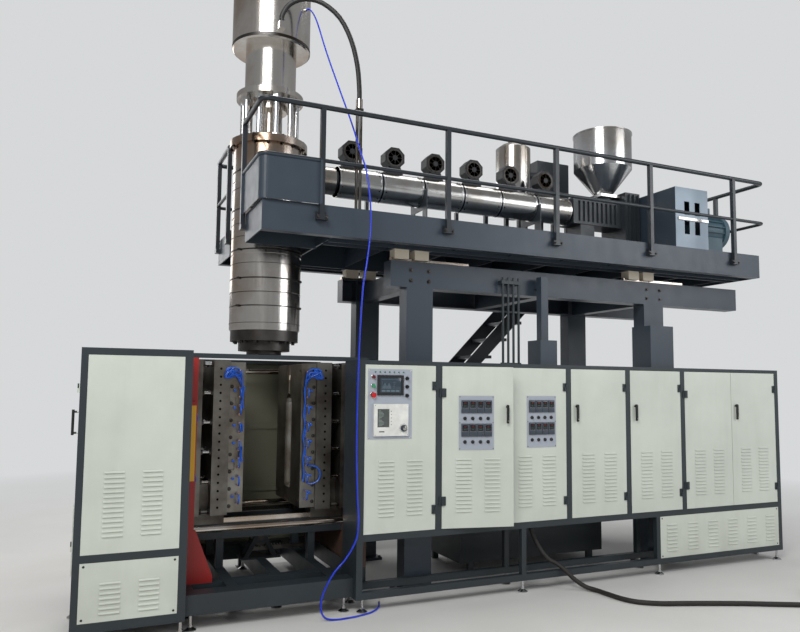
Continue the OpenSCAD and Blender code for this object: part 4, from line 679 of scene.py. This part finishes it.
def touch_screen():
    """Glass of the touch screen and the picture on it: keys, a curve and values."""
    x, body, slot = PANEL_X, "first_door", "grey_panel"
    glass, picture = SCREEN_FACE - 1.2, SCREEN_FACE - 1.8
    s = Shape()
    s.block(x + 98, x + 274, glass, SCREEN_FACE, 1661, 1777, bevel=0.3)
    s.piece("operator_screen_glass", "screen", body, slot)
    s = Shape()
    s.block(x + 108, x + 264, picture, glass, 1762, 1764)
    for i in range(4):
        s.block(x + 110 + i * 39, x + 142 + i * 39, picture, glass, 1668, 1680)
    s.block(x + 112, x + 188, picture, glass, 1692, 1693.4)
    s.block(x + 112, x + 113.4, picture, glass, 1692, 1750)
    for i in range(14):
        h = 18 + 26 * math.sin(i * 0.45) ** 2
        s.block(x + 117 + i * 5, x + 119.6 + i * 5, picture, glass, 1693, 1693 + h)
    for i, value in enumerate(("186", "192", "205", "14")):
        digits(s, value, x + 206, glass, 1737 - i * 15, 9)
    s.piece("operator_screen_picture", "screen_line", body, slot)


def plate_details():
    """Screws of the operator's plate and of the programmer, and the row of pilot lamps."""
    x, body = PANEL_X, "first_door"
    s = Shape()
    for z in (1310, 1835):
        for dx in (10, 365):
            s.screw((x + dx, PLATE_FACE, z), FRONT, 5)
    for z in (1562, 1334):
        for dx in (54, 328):
            s.screw((x + dx, PROGRAMMER_FACE, z), FRONT, 3.5)
    s.piece("operator_panel_screws", "bright", body, "bright_steel")
    s = Shape()
    for i in range(7):
        s.lathe((x + 60 + i * 40, -5.5, 1822), FRONT, [(0, 5), (3, 4.6), (4.6, 2.6), (5, 0)], 16)
    s.piece("operator_pilot_lamps", "green_plastic", body, "green_plastic")


def programmer():
    """Display, dial and keys of the parison programmer."""
    x, body, slot = PANEL_X, "first_door", "grey_panel"
    s = Shape()
    s.block(x + 76, x + 174, -17.4, -16, 1393, 1532, bevel=0.4)
    s.piece("programmer_display_glass", "lcd", body, slot)
    s = Shape()
    for i in range(12):
        w = 12 + 34 * abs(math.sin(i * 0.5 + 0.6))
        s.block(x + 84, x + 84 + w, -18, -17.4, 1402 + i * 10.4, 1408 + i * 10.4)
    s.piece("programmer_profile_bars", "lcd_line", body, slot)
    dial_x, dial_z, marks = x + 295, 1383, 24
    s = Shape()
    for i in range(marks):
        turn = around(dial_x, 0, dial_z, -140 + i * 280 / (marks - 1), "Y")
        mark_end = 38 if i % 4 == 0 else 35
        s.block(-0.8, 0.8, PROGRAMMER_FACE - 0.6, PROGRAMMER_FACE, 30, mark_end, turn)
    s.piece("programmer_dial_marks", "black_plastic", body, "black_plastic", False)
    s = Shape()
    s.lathe((dial_x, -45, dial_z), FRONT, [(0, 15.6), (2, 15.4), (3, 13), (3, 4)], 32)
    s.block(dial_x - 1.2, dial_x + 1.2, -48.6, -48, dial_z + 2, dial_z + 12)
    s.piece("programmer_dial_cap", "bright", body, "bright_steel")
    s = Shape()
    for i in range(5):
        s.lathe((x + 190, PROGRAMMER_FACE, 1412 + i * 26), FRONT,
                [(0, 3.4), (1.2, 3), (1.6, 1)], 14)
    s.block(x + 88, x + 132, PROGRAMMER_FACE - 0.5, PROGRAMMER_FACE, 1354, 1362, bevel=0.2)
    s.piece("programmer_keys", "grey_plastic", body, slot)


def button_rings():
    """Bright rings around the three push buttons, given by height and the button's radius."""
    s = Shape()
    for z, r in ((1782, 17), (1712, 17), (1641, 24)):
        s.lathe((PANEL_X + 42, PLATE_FACE, z), FRONT,
                [(0, r + 2), (1.5, r + 2), (3.5, r - 1), (3.5, r - 4)], 32)
    s.piece("button_rings", "bright", "first_door", "bright_steel")


DOORS = ["first", "second", "third", "fourth", "fifth", "sixth", "seventh"]
ZONE_PANELS = [(1, LEAF_X[1] + 140), (2, LEAF_X[2] + 200)]
ZONE_ROWS, ZONE_COLUMNS = 2, 4


def door_turn(n):
    """What brings a shape on door n to where the door stands."""
    return ON_AJAR_DOOR if n == AJAR_LEAF else None


def controllers(x):
    """Row, column and lower left corner of each temperature controller on a zone panel."""
    for r in range(ZONE_ROWS):
        for c in range(ZONE_COLUMNS):
            yield r, c, x + 21 + c * 66, 1500 - r * 190


def zone_panel(n, x, seed):
    """Glass, figures and keys of the controllers on door n, and the switches below them."""
    tag = DOORS[n]
    body, turn = tag + "_door", door_turn(n)
    glass_face, housing_face = -11.4, -12
    glass, value, target = Shape(), Shape(), Shape()
    keys, ring, knob = Shape(), Shape(), Shape()
    for r, c, x0, z0 in controllers(x):
        glass.block(x0 + 6.4, x0 + 53.6, glass_face, -10.2, z0 + 41, z0 + 93, turn, 0.6)
        text = str(170 + (seed * 7 + r * 31 + c * 13) % 40)
        digits(value, text, x0 + 17, glass_face, z0 + 73, 12, turn)
        digits(target, text, x0 + 18, glass_face, z0 + 52, 10, turn)
        for k in range(4):
            keys.block(x0 + 8 + k * 12, x0 + 16 + k * 12, -13.4, housing_face,
                       z0 + 14, z0 + 22, turn, 0.6)
        keys.block(x0 + 6, x0 + 54, -12.4, housing_face, z0 + 28, z0 + 33, turn)
        knob_x, knob_z = x0 + 30, z0 - 45
        ring.lathe((knob_x, PLATE_FACE, knob_z), FRONT, [(0, 15), (2, 15), (4, 11)], 24, turn)
        knob.block(knob_x - 2, knob_x + 2, -20, -16, knob_z - 9, knob_z + 9, turn, 1)
        knob.lathe((knob_x, -13, knob_z), FRONT, [(0, 10), (4, 10), (5, 8)], 20, turn)
    for dx in (8, 292):
        for z in (1210, 1420, 1630):
            ring.screw((x + dx, PLATE_FACE, z), FRONT, 4, turn)
    glass.piece(tag + "_zone_glass", "dark_glass", body, "grey_panel")
    value.piece(tag + "_zone_values", "red_digit", body, "red_plastic", False)
    target.piece(tag + "_zone_setpoints", "green_digit", body, "green_plastic", False)
    keys.piece(tag + "_zone_keys", "grey_plastic", body, "grey_panel")
    ring.piece(tag + "_zone_rings", "black", body, "black_plastic")
    knob.piece(tag + "_zone_knobs", "black_plastic", body, "black_plastic")


def controller_faces():
    """The controllers' dark housings on the zone panels."""
    front, back = -12.1, PLATE_FACE
    for n, x in ZONE_PANELS:
        turn = door_turn(n)
        s = Shape()
        for _, _, x0, z0 in controllers(x):
            s.block(x0 - 1, x0 + 61, front, back, z0 - 1, z0 + 40, turn, 1)
            s.block(x0 - 1, x0 + 6.2, front, back, z0 + 39, z0 + 103, turn, 1)
            s.block(x0 + 53.8, x0 + 61, front, back, z0 + 39, z0 + 103, turn, 1)
            s.block(x0 + 5, x0 + 55, front, back, z0 + 94.2, z0 + 103, turn, 1)
        s.piece(DOORS[n] + "_controller_bezels", "grey_plastic", DOORS[n] + "_door", "grey_panel")


def door_seals():
    """Rubber seal inside each door, seen in the gaps."""
    width, z0, z1 = 12, 586, 1872
    for n, x in enumerate(LEAF_X):
        body = DOORS[n] + "_door"
        x0, x1 = x + 6, x + 604
        s = Shape()
        for a0, a1, b0, b1 in ((x0, x1, z0, z0 + width), (x0, x1, z1 - width, z1),
                               (x0, x0 + width, z0, z1), (x1 - width, x1, z0, z1)):
            s.block(a0, a1, 14, 23, b0, b1, door_turn(n), 2)
        s.piece(body + "_seal", "rubber", body, "cable_rubber")


def handle_locks():
    """Cylinder locks at the low ends of the handles."""
    for n, dx in ((1, 555), (3, 55), (4, 55), (6, 55)):
        tag = DOORS[n] + "_handle"
        s = Shape()
        s.lathe((LEAF_X[n] + dx, -24, 1437), FRONT,
                [(0, 5.7), (12, 5.7), (13, 5), (13, 1.5), (11.5, 1.2)], 20, door_turn(n))
        s.piece(tag + "_lock", "bright", tag, "bright_steel")


touch_screen()
plate_details()
programmer()
button_rings()
for (n, x), seed in zip(ZONE_PANELS, (3, 8)):
    zone_panel(n, x, seed)
controller_faces()
door_seals()
handle_locks()


def mould_side(sign):
    """Cooling loops, nipples and bolts on the near edge of one clamp half, -1 for the left."""
    tag = "left" if sign < 0 else "right"
    body = tag + "_clamp"
    ports, port_pitch, nipple_x = 16, 70, 1130

    def mx(x):
        """X on this half of the clamp for a place on the left half."""
        return x if sign < 0 else 2 * CLAMP_X - x

    def hose(points, r=6, steps=6):
        loops.pipe([(mx(x), y, z) for x, y, z in points], r, steps)

    loops, brass, bolts, nuts, holes = Shape(), Shape(), Shape(), Shape(), Shape()
    for i in range(ports):
        z = 775 + i * port_pitch
        brass.lathe((mx(nipple_x), MOULD_Y - 20, z), FRONT,
                    [(0, 10), (6, 10), (6, 7), (14, 7), (15, 5)], 12)
        if i % 2 == 0:
            hose([(nipple_x, MOULD_Y - 30, z), (nipple_x, MOULD_Y - 62, z + 4),
                  (nipple_x, MOULD_Y - 78, z + 35), (nipple_x, MOULD_Y - 62, z + 66),
                  (nipple_x, MOULD_Y - 30, z + port_pitch)], steps=5)
        else:
            loops.lathe((mx(1092), MOULD_Y - 4, z - 18), FRONT,
                        [(0, 11), (12, 11), (14, 8), (22, 8)], 12)
    # Hoses gathered at the top corner
    for i in range(7):
        a = i * 0.9
        knot = [(1040 + 34 * math.cos(a + k * 1.3), 604 - 9 * (i % 3) - 5 * math.sin(k * 1.7),
                 1806 + 42 * math.sin(a * 1.4 + k * 1.3)) for k in range(6)]
        hose(knot + [(1132, 612 - 6 * (i % 3), 1730 + i * 14), (1148, 606, 1690 - i * 9)], steps=5)
    # Two runs along the inner edge, in short lengths on the left half
    for first, last in ((0, 14),) if sign > 0 else ((0, 4), (5, 7), (8, 11)):
        for j in range(2):
            hose([(1146 + 9 * j + 5 * math.sin(k * 1.9 + j),
                   606 - 8 * j - 7 * math.sin(k * 2.3 + 2 * j), 1700 - k * 60)
                  for k in range(first, last)], 5.5, 4)
    # Loops at the back plate
    for z in (1450, 985):
        hose([(790, 596, z + 60), (789, 574, z + 46), (800, 566, z), (789, 574, z - 46),
              (790, 596, z - 60)])
    if sign > 0:
        hose([(1130, 610, 915), (1090, 590, 900), (1030, 582, 930), (1015, 584, 990),
              (1050, 590, 1040), (1120, 604, 1050)])
    for i in range(9):
        bolts.bolt((mx(1068), MOULD_Y, 752 + i * 135), FRONT, 9)
    # Thin near-black discs on the platen face where the holes are: painted shade, no holes are cut
    for i in range(18):
        holes.lathe((mx(974.6), PLATEN_Y + 0.2, 750 + i * 64), FRONT, [(0, 9.5), (0.5, 9.5)], 20)
    # Nuts at both ends of the spacer studs
    nut = [(0, 24), (16, 24), (18, 21)]
    for i in range(6):
        for y in (632, 880):
            z = 718 + i * 231.8
            nuts.lathe((mx(LEFT_BACK + BACK_T), y, z), (-sign, 0, 0), nut, 6)
            nuts.lathe((mx(LEFT_PLATE), y, z), (sign, 0, 0), nut, 6)
    holes.piece(tag + "_platen_hole_mouths", "hole", body, "machined_steel")
    loops.piece(tag + "_mould_cooling_loops", "blue_fitting", body, "blue_hose")
    brass.piece(tag + "_mould_nipples", "brass", body, "bright_steel")
    bolts.piece(tag + "_mould_bolts", "dark_steel", body, "machined_steel")
    nuts.piece(tag + "_stud_nuts", "dark_steel", body, "machined_steel")


mould_side(-1)
mould_side(1)


def steel_piece(shape, name, body):
    """Ends the shape as a dark steel piece."""
    shape.piece(name, "dark_steel", body, "machined_steel")


def head_details():
    """Flange bolts, band clamps and their screws on the accumulator head."""
    bolts, bands, screws = Shape(), Shape(), Shape()

    def on_flange(r, angle, z):
        return (CLAMP_X + r * math.cos(angle), MID_LINE + r * math.sin(angle), z)

    for i in range(16):
        a = math.radians(i * 22.5 + 8)
        bolts.bolt(on_flange(322, a, 3850), UP, 10)
        bolts.bolt(on_flange(322, a, 3789), DOWN, 10)
        bolts.bolt(on_flange(270, a, 4290), UP, 10)
    steel_piece(bolts, "head_flange_bolts", "platform")
    # Bands of the drum by mid height and width, then the one around the upper drum
    for z, h in ((2236, 4), (2380, 10), (2498, 4), (2616, 12), (2744, 4), (2861, 12), (2975, 4),
                 (3088, 4), (3215, 14), (3400, 4), (3555, 10)):
        bands.lathe((CLAMP_X, MID_LINE, z - h / 2), UP, band(303, 306.5, h), 96, hollow=True)
    bands.lathe((CLAMP_X, MID_LINE, 4713), UP, band(343, 347.5, 26), 96, hollow=True)
    steel_piece(bands, "head_band_clamps", "platform")
    for z in (2380, 2616, 2861, 3555):
        for a in (-150, -30):
            turn = around(CLAMP_X, MID_LINE, z, a, "Z")
            screws.block(304, 322, -16, 16, -9, 9, turn, 2)
            screws.lathe((313, -26, 0), (0, 1, 0), [(0, 4), (52, 4)], 10, turn)
    steel_piece(screws, "head_band_screws", "platform")


def extruder_details():
    """Seam screws, rims and terminal boxes of the six heater covers, and the fan guards."""
    bolts, boxes, guards, rings = Shape(), Shape(), Shape(), Shape()
    zones, zone_l, first_x, cover_r = 6, 434, 2042, 144
    for i in range(zones):
        x0 = first_x + i * zone_l
        for dx in (26, 392):
            for a in (-150, -120, -60, -20, 20, 60, 120):
                n = Vector((0, math.sin(math.radians(a)), math.cos(math.radians(a))))
                bolts.screw(Vector((x0 + dx, MID_LINE, SCREW_Z)) + n * cover_r, n, 9)
        for dx in (0, 404):
            rings.lathe((x0 + dx, MID_LINE, SCREW_Z), (1, 0, 0),
                        band(cover_r - 1, cover_r + 3, 14), 64)
        boxes.block(x0 + 172, x0 + 246, 1156, 1174, 3560, 3640, None, 3)
        boxes.lathe((x0 + 209, 1172, 3560), (0, 0.25, -1),
                    [(0, 10), (26, 10), (28, 7), (60, 7)], 12)
        fan_x, fan_z = x0 + 139.6, SCREW_Z + cover_r + 150
        for r in (36, 52, 68, 84):
            guards.lathe((fan_x, 957.6, fan_z), FRONT, band(r, r + 2.2, 2.2), 40)
        for a in range(0, 360, 45):
            guards.block(-1.2, 1.2, 952.6, 955.6, 24, 88, around(fan_x, 0, fan_z, a, "Y"))
    steel_piece(bolts, "heater_cover_bolts", "platform")
    rings.piece("heater_cover_rims", "bright", "platform", "bright_steel")
    boxes.piece("heater_terminal_boxes", "grey_plastic", "platform", "black_plastic")
    steel_piece(guards, "fan_guards", "platform")


head_details()
extruder_details()


def frame_fasteners():
    """Bolts of the railing's brackets, of the stand's columns and of the clamp cylinders."""
    railing, stand, cylinders = Shape(), Shape(), Shape()
    for i in range(5):
        x = 1612 + i * 1110
        for dx in (-34, 34):
            railing.bolt((x + dx, 62, DECK_TOP - 92), UP, 7)
            railing.bolt((x + dx, 40, DECK_TOP - 111), FRONT, 8)
    steel_piece(railing, "railing_bolts", "platform")
    columns = (2465, 5080)
    for x in columns:
        for dx in (-22, 272):
            for y in (345, 510, 1530, 1695):
                stand.bolt((x + dx, y, 25), UP, 12)
    for x in columns:
        for dz in (60, 150):
            for dx in (40, 210):
                stand.bolt((x + dx, 330, 2557 + dz), FRONT, 11)
    steel_piece(stand, "stand_bolts", "machine_base")
    circle_r = 143
    for x, axis in ((662.7, (-1, 0, 0)), (2157.3, (1, 0, 0))):
        for i in range(8):
            a = math.radians(i * 45 + 22.5)
            p = (x, MID_LINE + circle_r * math.cos(a), CLAMP_Z + circle_r * math.sin(a))
            cylinders.bolt(p, axis, 11)
    steel_piece(cylinders, "clamp_cylinder_bolts", "machine_base")


frame_fasteners()


def cabinet_details():
    """Screws of the low panels and the grip of the cable's gland."""
    s = Shape()
    for r, heights, places in ((8, (180, 518), (24, 596)), (7, (166, 508), (4946, 6466))):
        for z in heights:
            for x in places:
                s.lathe((x, 0, z), FRONT, [(0, r), (1.6, r - 0.4), (2.4, r - 3), (1.6, 3)], 16)
    s.piece("panel_screws", "black", "machine_base", "machined_steel")
    gland_x, gland_y, _ = CABLE_ROUTE[0]
    s = Shape()
    s.lathe((gland_x, gland_y, 520), DOWN, [(0, 30), (16, 30), (18, 24), (34, 22), (36, 19.4)], 6)
    s.lathe((gland_x, gland_y, 486), DOWN, [(0, 23), (8, 23), (20, 20.5)], 24)
    s.piece("cable_gland_grip", "black_plastic", "machine_base", "black_plastic")


cabinet_details()

# Studio: a pale floor that fades into the backdrop, and area lights, each with its name,
# place, aim, size, power and colour
BACKDROP = srgb(214, 216, 217)
FLOOR_SIZE = 40
FADE_FROM, FADE_TO = 3.6, 10.0
LIGHTS = [
    ("key_light", (-5.5, -6.5, 7.5), (0, 0, 1.6), (4, 4), 500, (1, 1, 1)),
    ("fill_light", (6.5, -7.0, 5.0), (0.5, 0, 1.8), (5, 4), 255, (0.95, 0.97, 1)),
    ("top_light", (0, 1.0, 9.0), (0, 0, 2), (8, 3), 290, (1, 1, 1)),
    ("back_light", (-2.0, 8.0, 5.0), (0, 0, 2.5), (8, 3), 180, (1, 1, 1)),
]


def make_floor():
    mesh = bpy.data.meshes.new("floor")
    bm = bmesh.new()
    bmesh.ops.create_grid(bm, x_segments=1, y_segments=1, size=FLOOR_SIZE)
    bm.to_mesh(mesh)
    bm.free()
    floor = bpy.data.objects.new("floor", mesh)
    look = Look("pale_floor")
    clouds = look.noise(scale=0.8, detail=6)
    tone = look.ramp(clouds, (0.3, srgb(208, 207, 203)), (0.7, srgb(218, 217, 214)))
    look.link(tone, look.shader.inputs["Base Color"])
    look.shader.inputs["Roughness"].default_value = 0.7
    away = look.add("ShaderNodeVectorMath", operation="LENGTH")
    look.link(look.place.outputs["Object"], away.inputs[0])
    haze = look.add("ShaderNodeEmission", Color=BACKDROP, Strength=1.0)
    fade = look.add("ShaderNodeMixShader")
    share = look.span(away.outputs["Value"], 0.0, 1.0, FADE_FROM, FADE_TO)
    look.link(share, fade.inputs["Fac"])
    look.link(look.shader.outputs["BSDF"], fade.inputs[1])
    look.link(haze.outputs["Emission"], fade.inputs[2])
    surface = look.m.node_tree.nodes["Material Output"].inputs["Surface"]
    look.link(fade.outputs["Shader"], surface)
    mesh.materials.append(look.m)
    bpy.context.scene.collection.objects.link(floor)


def make_world():
    """Dim light all around, and the plain backdrop where the camera looks past the floor."""
    world = bpy.data.worlds.new("studio")
    bpy.context.scene.world = world
    world.use_nodes = True
    tree = world.node_tree
    back = tree.nodes["Background"]
    back.inputs["Color"].default_value = (0.82, 0.83, 0.85, 1)
    back.inputs["Strength"].default_value = 0.36
    pale = tree.nodes.new("ShaderNodeBackground")
    pale.inputs["Color"].default_value = BACKDROP
    pale.inputs["Strength"].default_value = 1.0
    path = tree.nodes.new("ShaderNodeLightPath")
    mix = tree.nodes.new("ShaderNodeMixShader")
    tree.links.new(path.outputs["Is Camera Ray"], mix.inputs["Fac"])
    tree.links.new(back.outputs["Background"], mix.inputs[1])
    tree.links.new(pale.outputs["Background"], mix.inputs[2])
    tree.links.new(mix.outputs["Shader"], tree.nodes["World Output"].inputs["Surface"])


def make_lights():
    for name, place, aim, size, power, color in LIGHTS:
        data = bpy.data.lights.new(name, "AREA")
        data.shape = "RECTANGLE"
        data.size, data.size_y = size
        data.energy = power
        data.color = color
        obj = bpy.data.objects.new(name, data)
        obj.location = place
        obj.rotation_euler = (Vector(aim) - Vector(place)).to_track_quat("-Z", "Y").to_euler()
        bpy.context.scene.collection.objects.link(obj)


make_floor()
make_world()
make_lights()
